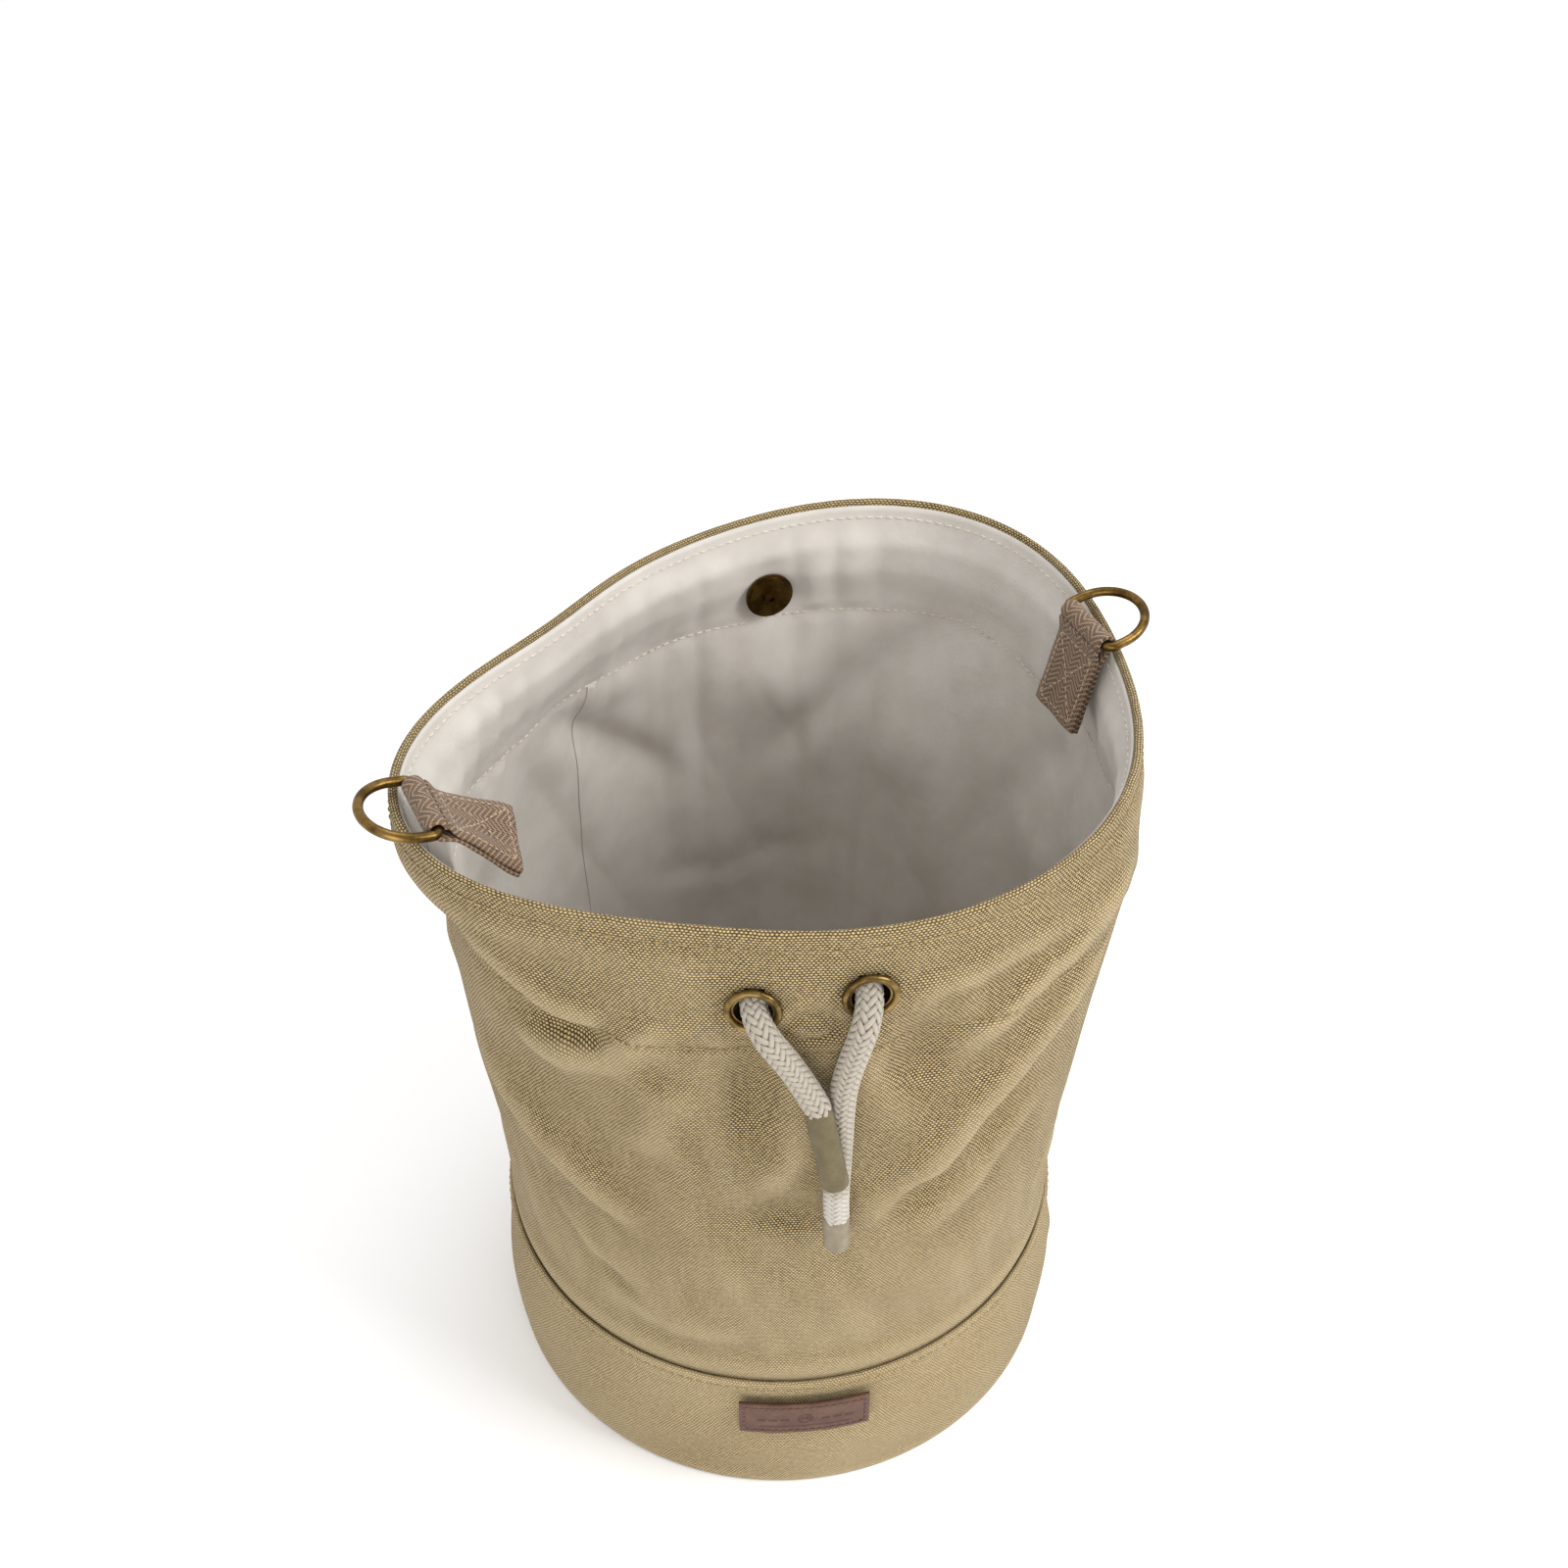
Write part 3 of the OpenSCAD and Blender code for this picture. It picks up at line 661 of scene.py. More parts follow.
def wall_patch(name, surface, a0, a1, z0, z1, lift, thick, material, slot, columns=14, rows=90):
    """A closed strip of cloth that lies on a wall, with soft edges."""
    t = np.linspace(0, 1, columns)
    edge = np.sqrt(np.clip(1 - (2 * t - 1) ** 6, 0, 1))
    a = a0 + (a1 - a0) * t
    z = np.linspace(z0, z1, rows)[:, None]
    top = polar(surface(a[None, :], z) + lift + thick * edge[None, :], a[None, :], z)
    under = polar(surface(a[None, ::-1], z) + lift - 0.1, a[None, ::-1], z)
    points = np.concatenate([top, under], 1)
    faces, at_row, at_column = capped(points)
    x = np.concatenate([a, a[::-1]]) * math.radians(MEAN_R) * MM
    x = np.append(x, x[0])
    uvs = np.stack([x[at_column], (z0 + at_row * (z1 - z0) / rows) * MM], -1)
    uvs = np.concatenate([uvs.reshape(-1, 2), np.zeros((2 * points.shape[1], 2))])
    return new_piece(name, points, faces, material, uvs, slot=slot)


def make_back_seams():
    upper = wall_patch("upper_back_seam_cloth", lambda a, z: wall_r(z, a) + relief(a, z),
                       BACK - 3, BACK + 3, 66, 252, 0.0, 0.9, CANVAS, "canvas")
    set_attribute(upper, "wear_and_shade", [0.35] * len(upper.data.vertices))
    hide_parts("upper_back_seam")
    band = wall_patch("band_back_seam_cloth", lambda a, z: wall_r(z, a) + band_relief(a, z) + CANVAS_T + GAP,
                      BACK - 3, BACK + 3, 1.5, 56, 0.0, 0.9, BAND, "band_canvas", rows=30)
    set_attribute(band, "wear_and_shade", [0.35] * len(band.data.vertices))
    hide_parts("band_back_seam")


def disc(name, radius, z, thick, material, slot, wrinkle=0.0, seed=1, wear_and_shade=None):
    """A round piece of cloth, closed, lying flat with slight wrinkles."""
    rings, steps = 26, 120
    r = np.linspace(0.5, radius, rings)[:, None]
    a = np.arange(steps)[None, :] * 360 / steps
    crumple = wrinkle * ripples(a, r * 3, seed, 10, (2, 9), 0.06) * smooth((radius - r) / 20)
    top = polar(r + 0 * a, a, z + thick + np.abs(crumple))
    under = polar(r[::-1] + 0 * a, a, z + 0 * a)
    points = np.concatenate([top, under], 0)
    faces, _, _ = grid_faces(2 * rings, steps, True, True)
    flat = points.reshape(-1, 3)[faces][..., :2]
    piece = new_piece(name, points, faces.tolist(), material, flat, slot=slot)
    if wear_and_shade is not None:
        set_attribute(piece, "wear_and_shade", [wear_and_shade] * len(piece.data.vertices))
    return piece


def make_bases():
    low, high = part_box("base_canvas")
    radius = high.x / MM
    base = disc("base_canvas_cloth", radius, low.z / MM, (high.z - low.z) / MM, BAND, "band_canvas", wear_and_shade=0.4)
    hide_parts("base_canvas")
    low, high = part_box("lining_base")
    lining = disc("lining_base_cloth", high.x / MM, low.z / MM, 0.6, COTTON, "cotton", 1.0, 33)
    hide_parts("lining_base")


# --- lining ---

LINING_T = 0.6
TAB_SPOTS = ((205.0, 288.0), (12.0, 288.0))


def lining_relief(a, z):
    """How far the lining stands in from its plain place, in mm, never below 0."""
    gathers = ripples(a, z * 0.35, 41, 14, (14, 34), 0.02)
    slants = ripples(a, z, 42, 12, (5, 14), 0.045)
    puffs = ripples(a, z, 43, 8, (3, 8), 0.03)
    below_channel = smooth((CHANNEL_Z - 4 - z) / 40)
    amount = 0.3 + 1.1 * np.abs(gathers) ** 1.3
    amount = amount + below_channel * (2.8 * np.clip(slants, 0, 2) + 3.2 * np.clip(puffs, 0, 2))
    amount = amount + 0.9 * np.clip(slants, 0, 2) * (1 - below_channel)
    amount = amount * smooth((297 - z) / 9) * smooth((z - 8) / 14)
    amount = amount * flat_spots(a, z, SNAP_SPOTS, 10, 8) * flat_spots(a, z, TAB_SPOTS, 22, 8)
    stitched = np.exp(-((z - CHANNEL_Z) / 2.2) ** 2)
    return amount * (1 - 0.9 * stitched)


def lining_surface(a, z):
    """Radius of the lining's outer face, in mm."""
    canvas = relief(a, z)
    return wall_r(z, a) + canvas - np.interp(z, *LINING_DEPTH) - lining_relief(a, z)


def make_lining():
    heights = np.concatenate([[5.5, 6.5, 8], np.linspace(10, LINING_TOP, 134)])
    outer = [(0.0, z) for z in heights]
    inner = [(LINING_T, z) for z in heights[::-1]]
    piece = ring_shell("lining_cloth", outer + inner, lining_surface, COTTON, "cotton")
    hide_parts("lining_wall")
    seam = wall_patch("lining_seam_cloth", lambda a, z: lining_surface(a, z) - LINING_T,
                      BACK + 40, BACK + 42, 9, 256, -0.2, 0.4, COTTON, "cotton")
    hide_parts("lining_seam")


# --- stitches ---


def unit(v):
    return v / np.maximum(np.linalg.norm(v, axis=-1, keepdims=True), 1e-12)


def stitch_mesh(centres, along, out, length, width, proud):
    """Points and faces of a row of sewn stitches: each is a short rounded pad
    that dives into the cloth at both ends."""
    rings, sides = 7, 8
    side = unit(np.cross(out, along))
    t = np.linspace(-1, 1, rings)
    swell = np.sqrt(np.clip(1 - np.abs(t) ** 3, 0.04, 1))
    turn = np.arange(sides) * 2 * math.pi / sides
    points = []
    for k in range(rings):
        ring_centre = centres + along * (t[k] * length / 2) + out * (proud * (1 - t[k] ** 2) - proud * 0.25)
        for s in range(sides):
            offset = side * math.cos(turn[s]) * width / 2 + out * math.sin(turn[s]) * width * 0.42
            points.append(ring_centre + offset * swell[k])
    points = np.stack(points, 1)
    count = rings * sides
    faces, _, _ = grid_faces(rings, sides, False, True)
    one = faces.tolist() + [list(range(sides))[::-1], list(range(count - sides, count))]
    every = [[v + n * count for v in face] for n in range(len(points)) for face in one]
    return points.reshape(-1, 3), every


def sewn_row(line, out, pitch, cover, width, proud, seed):
    """Stitches along a line of points, in metres, with out pointing off the cloth."""
    run = path_length(line)
    chance = random.Random(seed)
    count = max(2, int(run[-1] / pitch))
    at = (np.arange(count) + 0.5) * run[-1] / count
    at = at + np.array([chance.uniform(-0.06, 0.06) for _ in range(count)]) * pitch
    pick = lambda d, values: np.stack([np.interp(d, run, values[:, k]) for k in range(3)], -1)
    centres = pick(at, line)
    along = unit(pick(np.minimum(at + pitch / 2, run[-1]), line) - pick(np.maximum(at - pitch / 2, 0), line))
    outs = unit(pick(at, out))
    lean = np.array([chance.uniform(-0.08, 0.08) for _ in range(count)])[:, None]
    tilt = unit(np.cross(outs, along)) * lean
    return stitch_mesh(centres, unit(along + tilt), outs, pitch * cover, width, proud)


def joined(parts):
    """One mesh from several (points, faces) pairs."""
    points, faces, start = [], [], 0
    for p, f in parts:
        points.append(p)
        faces += [[v + start for v in face] for face in f]
        start += len(p)
    return np.concatenate(points), faces


def ring_row(surface, z, lift, facing, pitch, seed):
    """A row of stitches all the way round at one height. facing is 1 outwards, -1 inwards."""
    a = np.linspace(0, 360, 1441)
    line = polar(surface(a, np.full_like(a, z)) + lift * facing, a, np.full_like(a, z))
    along = np.gradient(line, axis=0)
    out = unit(np.cross(along, [0, 0, 1])) * facing
    return sewn_row(line, out, pitch, 0.74, 0.00075, 0.00028, seed)


def two_sided_rows(name, z, seed, replaced):
    """Canvas-coloured stitches on the outside and light ones on the lining."""
    canvas_face = lambda a, z: wall_r(z, a) + relief(a, z)
    cotton_face = lambda a, z: lining_surface(a, z) - LINING_T
    outside = ring_row(canvas_face, z, 0.0, 1, 0.0038, seed)
    inside = ring_row(cotton_face, z, 0.05, -1, 0.0038, seed + 1)
    piece = new_piece(name, *joined([outside, inside]), CANVAS_THREAD, slot="light_thread")
    piece.data.materials.append(LIGHT_THREAD)
    split = len(outside[1])
    indexes = [0] * split + [1] * (len(piece.data.polygons) - split)
    piece.data.polygons.foreach_set("material_index", indexes)
    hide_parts(replaced)


def make_stitches():
    two_sided_rows("rim_stitches", BAG_H - 6.5, 1, "rim_stitch")
    two_sided_rows("channel_stitches", CHANNEL_Z, 3, "channel_stitch")
    band_face = lambda a, z: wall_r(z, a) + band_relief(a, z) + CANVAS_T + GAP + 0.55
    piece = new_piece("band_stitches", *ring_row(band_face, BAND_Z - 3, 0.0, 1, 0.0036, 5), CANVAS_THREAD,
                      slot="canvas_thread")
    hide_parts("band_stitch")


# --- drawcord ---

CORD_D = 0.0085
DIP_R = 0.00455
RUN_Z = 282.0              # mm, the middle of the cord in its channel
RUN_DEPTH = 4.6            # mm, how far it lies inside the canvas face
TUCKED = 0.006             # metres of each cord that its dipped tip covers
# routes of the free ends in metres, from inside each eyelet to the last point but
# one, where the dipped tip starts, and on into the tip
LEFT_ROUTE = [(-.0167, -.1139, .2783), (-.0172, -.1162, .2763), (-.0164, -.12, .2733),
              (-.0142, -.1232, .2695), (-.011, -.1246, .2644), (-.0076, -.1252, .2588),
              (-.0044, -.126, .253), (-.0014, -.1274, .2474), (.0012, -.1292, .242),
              (.0024, -.1303, .2352)]
RIGHT_ROUTE = [(.017, -.1158, .2829), (.0174, -.1182, .2808), (.017, -.1218, .2778),
               (.0158, -.1248, .2734), (.014, -.1254, .266), (.0118, -.1252, .257),
               (.01, -.1249, .247), (.0092, -.1246, .236), (.009, -.1242, .223),
               (.0088, -.1234, .209), (.0086, -.1224, .196), (.0087, -.1214, .186),
               (.009, -.1205, .1775), (.00915, -.1203, .171)]
LEFT_TIP = (.0069, -.1342, .21)
RIGHT_TIP = (.0094, -.1201, .1605)


def spline(points, spacing):
    """A smooth curve through the points, as evenly spaced points."""
    p = np.array(points, float)
    p = np.concatenate([[2 * p[0] - p[1]], p, [2 * p[-1] - p[-2]]])
    t = np.linspace(0, 1, 24, endpoint=False)[:, None]
    curve = []
    for p0, p1, p2, p3 in zip(p, p[1:], p[2:], p[3:]):
        curve.append(0.5 * (2 * p1 + (p2 - p0) * t + (2 * p0 - 5 * p1 + 4 * p2 - p3) * t ** 2
                            + (3 * p1 - p0 - 3 * p2 + p3) * t ** 3))
    curve = np.concatenate(curve + [p[-2:-1]])
    run = path_length(curve)
    at = np.linspace(0, run[-1], max(3, int(run[-1] / spacing) + 1))
    return np.stack([np.interp(at, run, curve[:, k]) for k in range(3)], -1)


def frames(line, first_side=(1, 0, 0)):
    """Two directions square to the line at each of its points, without twist."""
    along = unit(np.gradient(line, axis=0))
    side = np.array(first_side, float)
    sides = []
    for d in along:
        side = side - d * np.dot(side, d)
        side = side / np.linalg.norm(side)
        sides.append(side)
    sides = np.array(sides)
    return along, sides, np.cross(along, sides)


def tube(line, sides, ups, half_w, half_h, count):
    """Points of a swept oval; half sizes are one number or one per point."""
    turn = np.arange(count) * 2 * math.pi / count
    w = np.broadcast_to(half_w, (len(line),))[:, None, None]
    h = np.broadcast_to(half_h, (len(line),))[:, None, None]
    return line[:, None] + sides[:, None] * w * np.cos(turn)[None, :, None] \
        + ups[:, None] * h * np.sin(turn)[None, :, None]


def braid(name, route, diameter, material, replaced, bleached=0.0, pitch=0.027, each_way=10):
    """A braided cord: strands that cross two over and two under, round a core. Its
    last bleached metres are paler."""
    line = spline(route, 0.0003)
    _, sides, ups = frames(line)
    run = path_length(line)
    mid_r = diameter * 0.43
    wave = diameter * 0.037
    half_w = diameter * 0.108
    half_t = diameter * 0.052
    points, faces, uvs, strand_shades, pales, start = [], [], [], [], [], 0
    left = run[-1] - run
    tuck = 1 - 0.13 * smooth((TUCKED - left) / 0.0015)
    pale = smooth((bleached - left) / 0.004 + 0.5) if bleached else 0 * run

    def add(ring_points, depth, pale_rings, u, v):
        nonlocal start
        f, rows, columns = capped(ring_points)
        quads = len(rows)
        faces.extend([[n + start for n in face] for face in f])
        corner_uv = np.stack([u[columns % ring_points.shape[1]], v[rows]], -1).reshape(-1, 2)
        uvs.append(corner_uv[:quads * 4])
        uvs.append(np.zeros((2 * ring_points.shape[1], 2)))
        strand_shades.append(depth.reshape(-1))
        pales.append(np.repeat(pale_rings, ring_points.shape[1]))
        points.append(ring_points.reshape(-1, 3))
        start += ring_points.shape[0] * ring_points.shape[1]

    oval = np.arange(6) * 2 * math.pi / 6
    for direction in (1, -1):
        for j in range(each_way):
            crossings = 2 * each_way * run / pitch
            x = 2 * j + direction * crossings
            lift = np.clip(1.5 * np.cos(math.pi / 2 * (x - 0.5)), -1, 1) * direction
            turn = 2 * math.pi * (j / each_way) + direction * 2 * math.pi * run / pitch
            out = sides * np.cos(turn)[:, None] + ups * np.sin(turn)[:, None]
            r = (mid_r + wave * lift) * tuck
            centre = line + out * r[:, None]
            step = unit(np.gradient(centre, axis=0))
            flat = unit(np.cross(out, step))
            ring_points = tube(centre, flat, out, half_w, half_t, 6)
            # painted shade: lower where the strand dives under and on its inner side
            depth = (0.5 + 0.5 * lift)[:, None] * 0.7 + 0.3 * (0.5 + 0.5 * np.sin(oval))[None, :]
            add(ring_points, depth, pale, np.cos(oval) * half_w, run)
    core_r = (mid_r - 0.0003) * tuck[::4]
    core = tube(line[::4], sides[::4], ups[::4], core_r, core_r, 24)
    # the core gets depth 0, the darkest colour, as painted shade between the strands
    add(core, np.zeros(core.shape[:2]), pale[::4], np.zeros(24), run[::4])
    piece = new_piece(name, np.concatenate(points), faces, material, np.concatenate(uvs), slot="cord")
    set_attribute(piece, "depth", np.concatenate(strand_shades))
    set_attribute(piece, "pale", np.concatenate(pales))
    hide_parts(replaced)
    return piece, line, run[-1]


def dipped_end(name, start, end, radius, material, replaced, seed):
    """A dipped cord end: a sleeve with soft shoulders and faint lumps."""
    line = spline([start, (np.array(start) + np.array(end)) / 2, end], 0.0004)
    _, sides, ups = frames(line)
    run = path_length(line)
    left = run[-1] - run
    shoulder = np.sqrt(np.clip(1 - np.clip(1 - left / 0.0022, 0, 1) ** 2.4, 0.02, 1))
    collar = 1 - 0.05 * np.clip(1 - run / 0.0012, 0, 1)
    count = 40
    ring = tube(line, sides, ups, radius * shoulder * collar, radius * shoulder * collar, count)
    angle = np.arange(count)[None, :] * 360 / count
    lumps = 0.00012 * ripples(angle, run[:, None] / MM, seed, 8, (1, 5), 0.5)
    centre = line[:, None]
    ring = ring + unit(ring - centre) * lumps[..., None] * shoulder[:, None, None]
    faces, _, _ = capped(ring)
    piece = new_piece(name, ring, faces, material, slot="dipped_end")
    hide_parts(replaced)
    return piece


def make_cords():
    tip_left = dipped_end("cord_dip_left", LEFT_ROUTE[-2], LEFT_TIP, DIP_R, OLIVE_DIP,
                          "cord_tip_left", 51)
    left, line, length = braid("cord_braid_left", LEFT_ROUTE, CORD_D, CORD, "cord_left")
    tip_right = dipped_end("cord_dip_right", RIGHT_ROUTE[-2], RIGHT_TIP, DIP_R, GREY_DIP,
                           "cord_tip_right", 52)
    right, line, length = braid("cord_braid_right", RIGHT_ROUTE, CORD_D, CORD, "cord_right",
                                bleached=0.0225)


def make_run():
    """The part of the cord inside its channel, pressed flat between canvas and lining."""
    a = np.linspace(EYELETS[1][0] + 5, EYELETS[0][0] + 355, 720)
    z = np.full_like(a, RUN_Z)
    line = polar(wall_r(z, a) + relief(a, z) - RUN_DEPTH, a, z)
    along, _, _ = frames(line)
    out = unit(np.cross(along, [0, 0, 1.0]))
    ups = unit(np.cross(out, along))
    points = tube(line, ups, out, 0.0046, 0.0024, 24)
    faces, rows, columns = capped(points)
    run = path_length(line)
    uvs = np.stack([columns * 0.0008, run[rows]], -1).reshape(-1, 2)
    uvs = np.concatenate([uvs, np.zeros((48, 2))])
    piece = new_piece("drawcord_in_channel", points, faces, CORD, uvs, slot="cord")
    # one even level of the painted strand shade
    set_attribute(piece, "depth", [0.7] * len(piece.data.vertices))
    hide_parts("drawcord_run")


make_cords()
make_run()
make_upper_canvas()
make_lower_band()
make_back_seams()
make_bases()
make_lining()
make_stitches()

# --- webbing tabs ---

WEB_W = 25.0
WEB_LAYER = 1.5
TAIL_END = -37.0
LOOP_R = 2.95
LEANS = {"left": 48.0, "right": 14.0}
TWISTS = {"left": 0.35, "right": 0.0}


def on_bar(side):
    """The tab's own axes at its ring's bar: origin, across, up its tail and outwards."""
    joint = next(j for j in frame["joints"] if j["name"] == f"d_ring_{side}_swing")
    across = np.array(joint["axis"], float)
    up = np.array([0.0, 0.0, 1.0])
    outwards = np.cross(up, across)
    lean = math.radians(LEANS[side])
    leaning_up = up * math.cos(lean) + outwards * math.sin(lean)
    leaning_out = outwards * math.cos(lean) - up * math.sin(lean)
    return np.array(joint["pos_m"], float), -across, leaning_up, leaning_out


def make_tab(side):
    origin, across, up, out = on_bar(side)
    heights = np.linspace(TAIL_END, -3.2, 60)
    layer = WEB_LAYER / 2 + 0.08
    open_up = lambda y: layer + (LOOP_R - layer) * smooth((y + 9) / 7.5)
    front = [(y, open_up(y)) for y in heights]
    arc = [(LOOP_R * math.sin(t), LOOP_R * math.cos(t)) for t in np.linspace(-0.9, math.pi + 0.9, 30)]
    back = [(y, -open_up(y)) for y in heights[::-1]]
    centre = np.array(front + arc + back)
    tangent = unit(np.gradient(centre, axis=0))
    normal = np.stack([-tangent[:, 1], tangent[:, 0]], -1)
    outer = centre - normal * WEB_LAYER / 2
    inner = centre + normal * WEB_LAYER / 2
    columns = 40
    x = np.linspace(-WEB_W / 2, WEB_W / 2, columns)
    t = np.abs(x) / (WEB_W / 2)
    squeeze = 1 - 0.35 * np.clip((t - 0.94) / 0.06, 0, 1)
    rows = len(centre)
    wave = 0.25 * np.sin(x * 0.45 + 1.0)[None, :] + 0.12 * np.sin(np.arange(rows) * 0.21)[:, None]

    def layer_points(line):
        mid = centre[:, None, :]
        yz = mid + (line[:, None, :] - mid) * squeeze[None, :, None]
        free = smooth((-8 - yz[..., 0]) / 30)
        sag = wave * smooth((-8 - yz[..., 0]) / 10) + TWISTS[side] * x[None, :] * free
        return origin + (across * x[None, :, None] + up * yz[..., :1]
                         + out * (yz[..., 1:] + sag[..., None])) * MM

    top = layer_points(outer)
    under = layer_points(inner)[:, ::-1]
    points = np.concatenate([top, under], 1)
    faces, at_row, at_column = capped(points)
    along = path_length(centre) * MM
    u = np.concatenate([x, x[::-1]]) * MM
    u = np.append(u, u[0])
    uvs = np.stack([u[at_column] + 0.05, along[at_row]], -1).reshape(-1, 2)
    uvs = np.concatenate([uvs, np.zeros((4 * columns, 2))])
    piece = new_piece(f"tab_{side}_webbing", points, faces, WEBBING, uvs, slot="webbing")
    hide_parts(f"tab_{side}")


def make_tab_stitches(side):
    """A sewn box with a cross in it, on the face that looks into the bag."""
    origin, across, up, out = on_bar(side)
    half = WEB_W / 2 - 2.6
    top, foot = -8.0, TAIL_END + 2.8
    corners = [(-half, top), (half, top), (half, foot), (-half, foot)]
    rows = []
    for n, (i, j) in enumerate(((0, 1), (1, 2), (2, 3), (3, 0), (0, 2), (1, 3))):
        t = np.linspace(0, 1, 30)[:, None]
        xy = np.array(corners[i]) * (1 - t) + np.array(corners[j]) * t
        proud = WEB_LAYER + 0.15
        wave = 0.25 * np.sin(xy[:, :1] * 0.45 + 1.0) * smooth((-8 - xy[:, 1:]) / 10)
        twist = TWISTS[side] * xy[:, :1] * smooth((-8 - xy[:, 1:]) / 30)
        line = origin + (across * xy[:, :1] + up * xy[:, 1:] + out * (wave + twist - proud)) * MM
        rows.append(sewn_row(line, np.broadcast_to(-out, line.shape), 0.0026, 0.78, 0.0007, 0.00025, 60 + n))
    piece = new_piece(f"tab_{side}_stitches", *joined(rows), TAUPE_THREAD, slot="light_thread")
    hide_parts(f"tab_stitch_{side}")


for tab_side in ("left", "right"):
    make_tab(tab_side)
    make_tab_stitches(tab_side)

# --- label ---

LABEL_W, LABEL_H, LABEL_T = 50.0, 18.0, 1.5
LABEL_SEAM = 1.85          # mm from the edge to the sewn border


def pressed_mark(x, y):
    """A generic pressed pattern, 0..1: a small ball of yarn between plain bars."""
    def near(distance, width):
        return np.clip(1.6 - np.abs(distance) / width, 0, 1)
    ball = near(np.hypot(x, y - 0.6) - 2.6, 0.28)
    inside = np.hypot(x, y - 0.6) < 2.5
    for turn in (-0.7, 0.0, 0.7):
        strand = np.hypot(x - 4 * math.sin(turn), y - 0.6 - 4 * math.cos(turn)) - 3.9
        ball = np.maximum(ball, near(strand, 0.2) * inside)
    bars = 0.0
    for start in (6.2, 10.6, 15.0):
        inside_bar = np.clip(np.minimum(np.abs(x) - start, start + 3.2 - np.abs(x)) / 0.3 + 0.5, 0, 1)
        bars = np.maximum(bars, inside_bar * np.clip((0.75 - np.abs(y + 0.2)) / 0.3 + 0.5, 0, 1))
    rule = np.clip((17.5 - np.abs(x)) / 0.4, 0, 1) * near(y + 4.3, 0.3)
    return np.clip(np.maximum(np.maximum(ball, bars), rule), 0, 1)


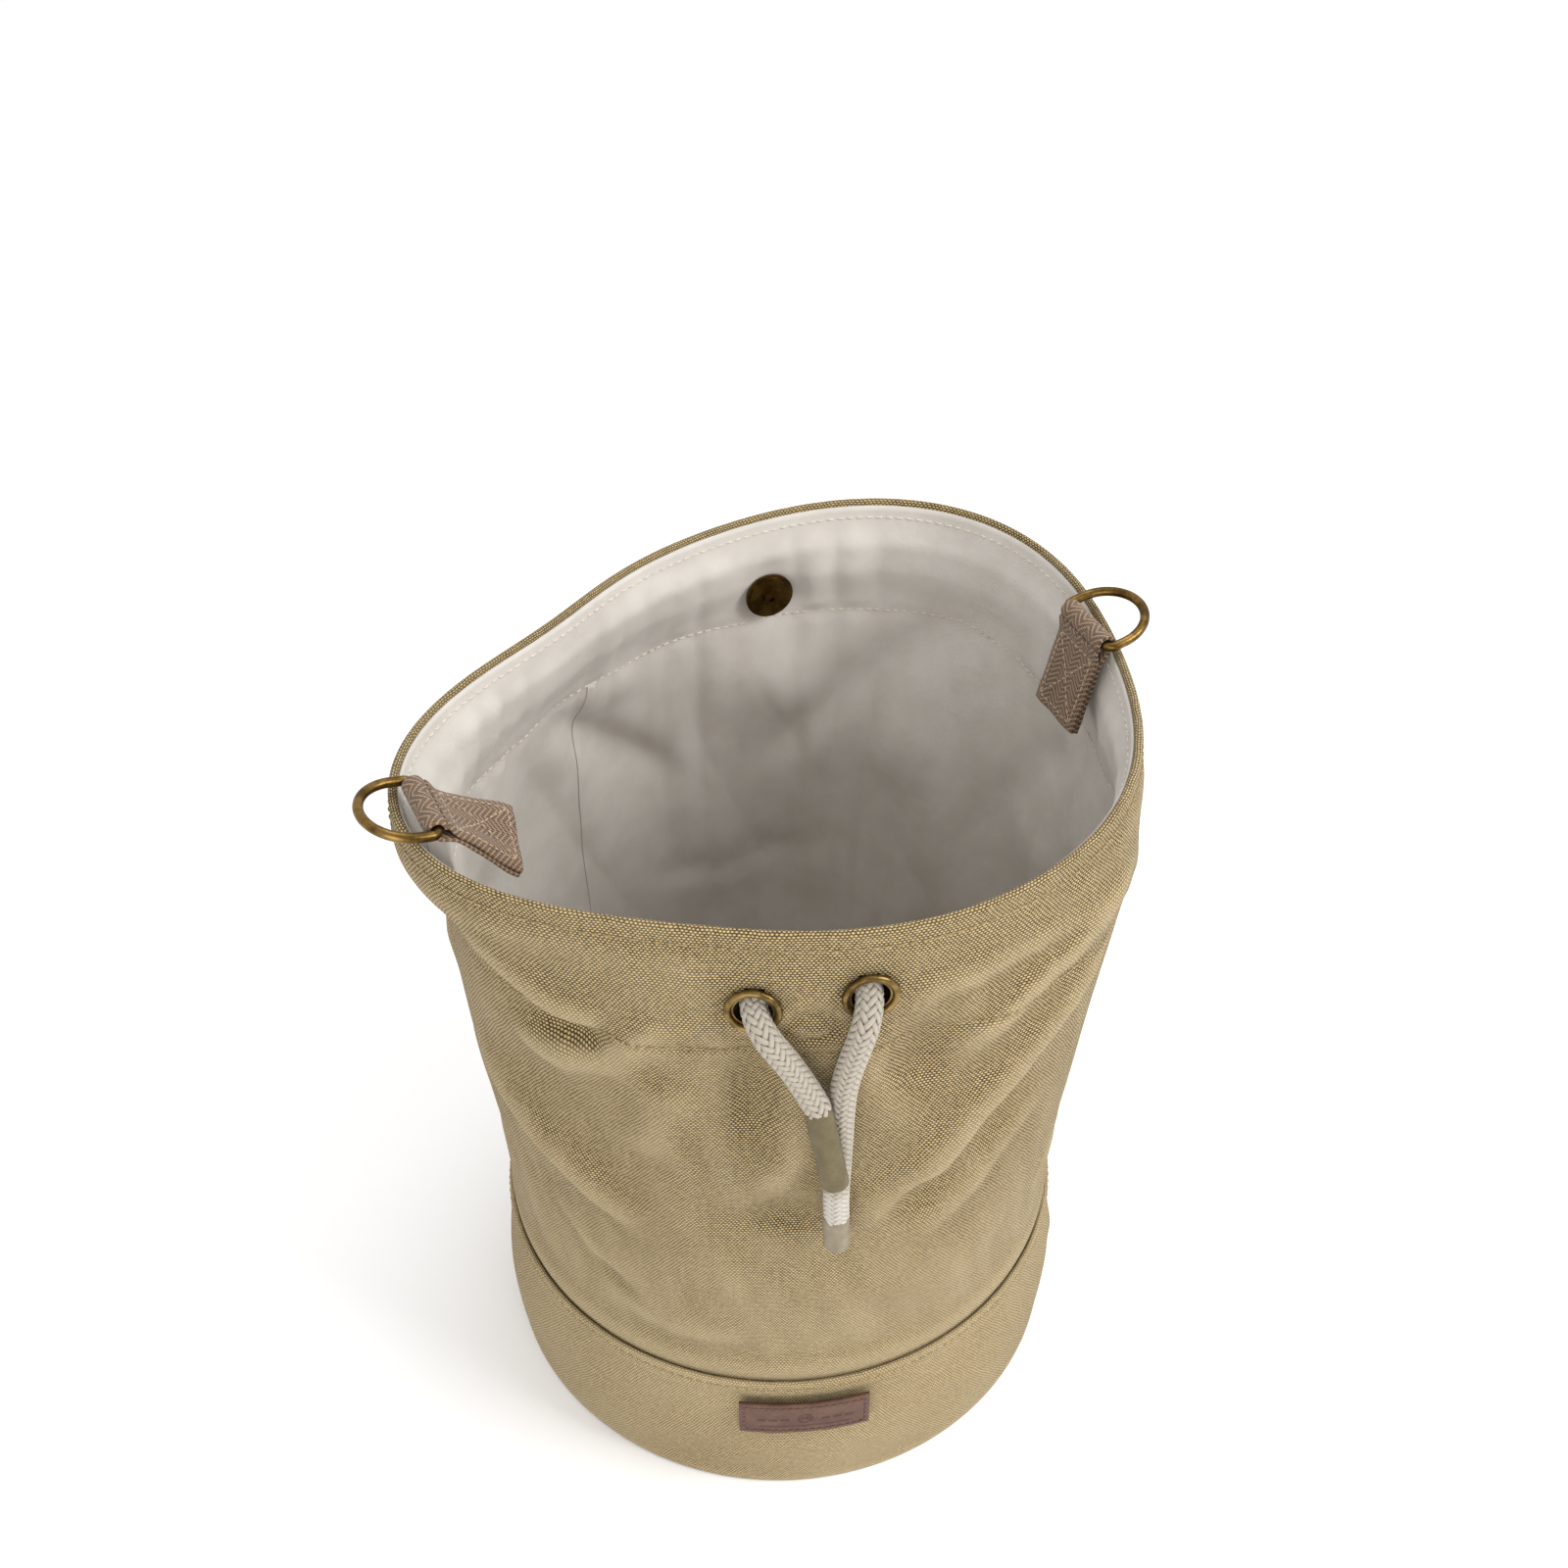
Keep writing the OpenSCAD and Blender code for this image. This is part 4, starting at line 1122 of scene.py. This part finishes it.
def make_label():
    low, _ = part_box("label")
    z0 = low.z / MM
    face_r = -low.y / MM
    columns, rows = 201, 73
    x = np.linspace(-LABEL_W / 2, LABEL_W / 2, columns)[None, :]
    y = np.linspace(-LABEL_H / 2, LABEL_H / 2, rows)[:, None]
    inset = np.minimum(LABEL_W / 2 - np.abs(x), LABEL_H / 2 - np.abs(y))
    edge = np.sqrt(np.clip(1 - (1 - np.clip(inset / 0.7, 0, 1)) ** 2, 0, 1))
    mark = pressed_mark(x, y)
    groove = np.exp(-((inset - LABEL_SEAM) / 0.5) ** 2)
    r = face_r - 0.55 * (1 - edge) - 0.3 * mark - 0.16 * groove + 0.05 * ripples(x * 4, y, 71, 8, (3, 9), 0.5)
    a = FRONT + np.degrees(x / face_r)
    front = polar(r, a, z0 + LABEL_H / 2 + y)
    back = polar(face_r - LABEL_T + 0 * y, a, z0 + LABEL_H / 2 + y)[::-1]
    points = np.concatenate([front, back], 0)
    faces, _, _ = grid_faces(2 * rows, columns, True, False)
    faces = faces.tolist()
    for column in (0, columns - 1):
        for i in range(rows - 1):
            quad = [i * columns + column, (i + 1) * columns + column,
                    (2 * rows - 2 - i) * columns + column, (2 * rows - 1 - i) * columns + column]
            faces.append(quad if column == 0 else quad[::-1])
    piece = new_piece("leather_label", points, faces, LEATHER, slot="leather")
    pressed = np.clip(mark + 0.6 * groove, 0, 1)
    set_attribute(piece, "pressed", np.concatenate([pressed, np.zeros((rows, columns))]))
    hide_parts("label")
    rows_of_stitches = []
    hx, hy = LABEL_W / 2 - LABEL_SEAM, LABEL_H / 2 - LABEL_SEAM
    corners = [(-hx, -hy), (hx, -hy), (hx, hy), (-hx, hy)]
    for n in range(4):
        t = np.linspace(0, 1, 40)[:, None]
        xy = np.array(corners[n]) * (1 - t) + np.array(corners[(n + 1) % 4]) * t
        angle = FRONT + np.degrees(xy[:, 0] / face_r)
        line = polar(face_r - 0.05, angle, z0 + LABEL_H / 2 + xy[:, 1])
        out = polar(1000.0, angle, 0 * angle)
        rows_of_stitches.append(sewn_row(line, out, 0.0027, 0.76, 0.0006, 0.0002, 80 + n))
    piece = new_piece("label_stitches", *joined(rows_of_stitches), BROWN_THREAD, slot="brown_thread")
    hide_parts("label_stitch")


make_label()

# --- CAD nodes that stay ---

KEPT = {
    "antique_brass": BRASS,
    "eyelet_brass": EYELET_BRASS,
    "snap_brass": SNAP_BRASS,
    "board": board_material("base_board"),
    "magnet": magnet_material("sintered_magnet"),
}


def finish_kept_nodes():
    """Every CAD node that still shows gets the material of its slot."""
    slots = {s["node"]: s["material_slot"] for s in frame["record"]["subparts"]}
    for name, node in frame["nodes"].items():
        look = KEPT.get(slots[name])
        if slots[name] == "antique_brass":
            look = KEPT.get(name.split("_")[0] + "_brass", look)
        if look:
            node.data.materials.clear()
            node.data.materials.append(look)


finish_kept_nodes()

# --- floor and light ---


def make_floor():
    mesh = bpy.data.meshes.new("floor")
    half = 3.0
    corners = [(-half, -half, 0), (half, -half, 0), (half, half, 0), (-half, half, 0)]
    mesh.from_pydata(corners, [], [(0, 1, 2, 3)])
    mesh.materials.append(floor_material("pale_floor"))
    floor = bpy.data.objects.new("floor", mesh)
    floor.location.z = -0.0005
    bpy.context.scene.collection.objects.link(floor)


def area_light(name, where, size, power, aim=(0, 0, 0.15)):
    data = bpy.data.lights.new(name, "AREA")
    data.size = size
    data.energy = power
    light = bpy.data.objects.new(name, data)
    light.location = where
    light.rotation_euler = (Vector(aim) - Vector(where)).to_track_quat("-Z", "Y").to_euler()
    bpy.context.scene.collection.objects.link(light)


def make_light():
    world = bpy.data.worlds.new("studio")
    bpy.context.scene.world = world
    world.use_nodes = True
    background = world.node_tree.nodes["Background"]
    background.inputs["Color"].default_value = (1, 1, 1, 1)
    background.inputs["Strength"].default_value = 0.9
    area_light("key", (1.3, -0.6, 1.3), 0.9, 22)
    area_light("front", (-0.5, -1.7, 0.6), 1.2, 13)
    area_light("top", (0.3, 0.5, 1.9), 0.9, 7)
    bpy.context.scene.view_settings.view_transform = "Standard"


make_floor()
make_light()
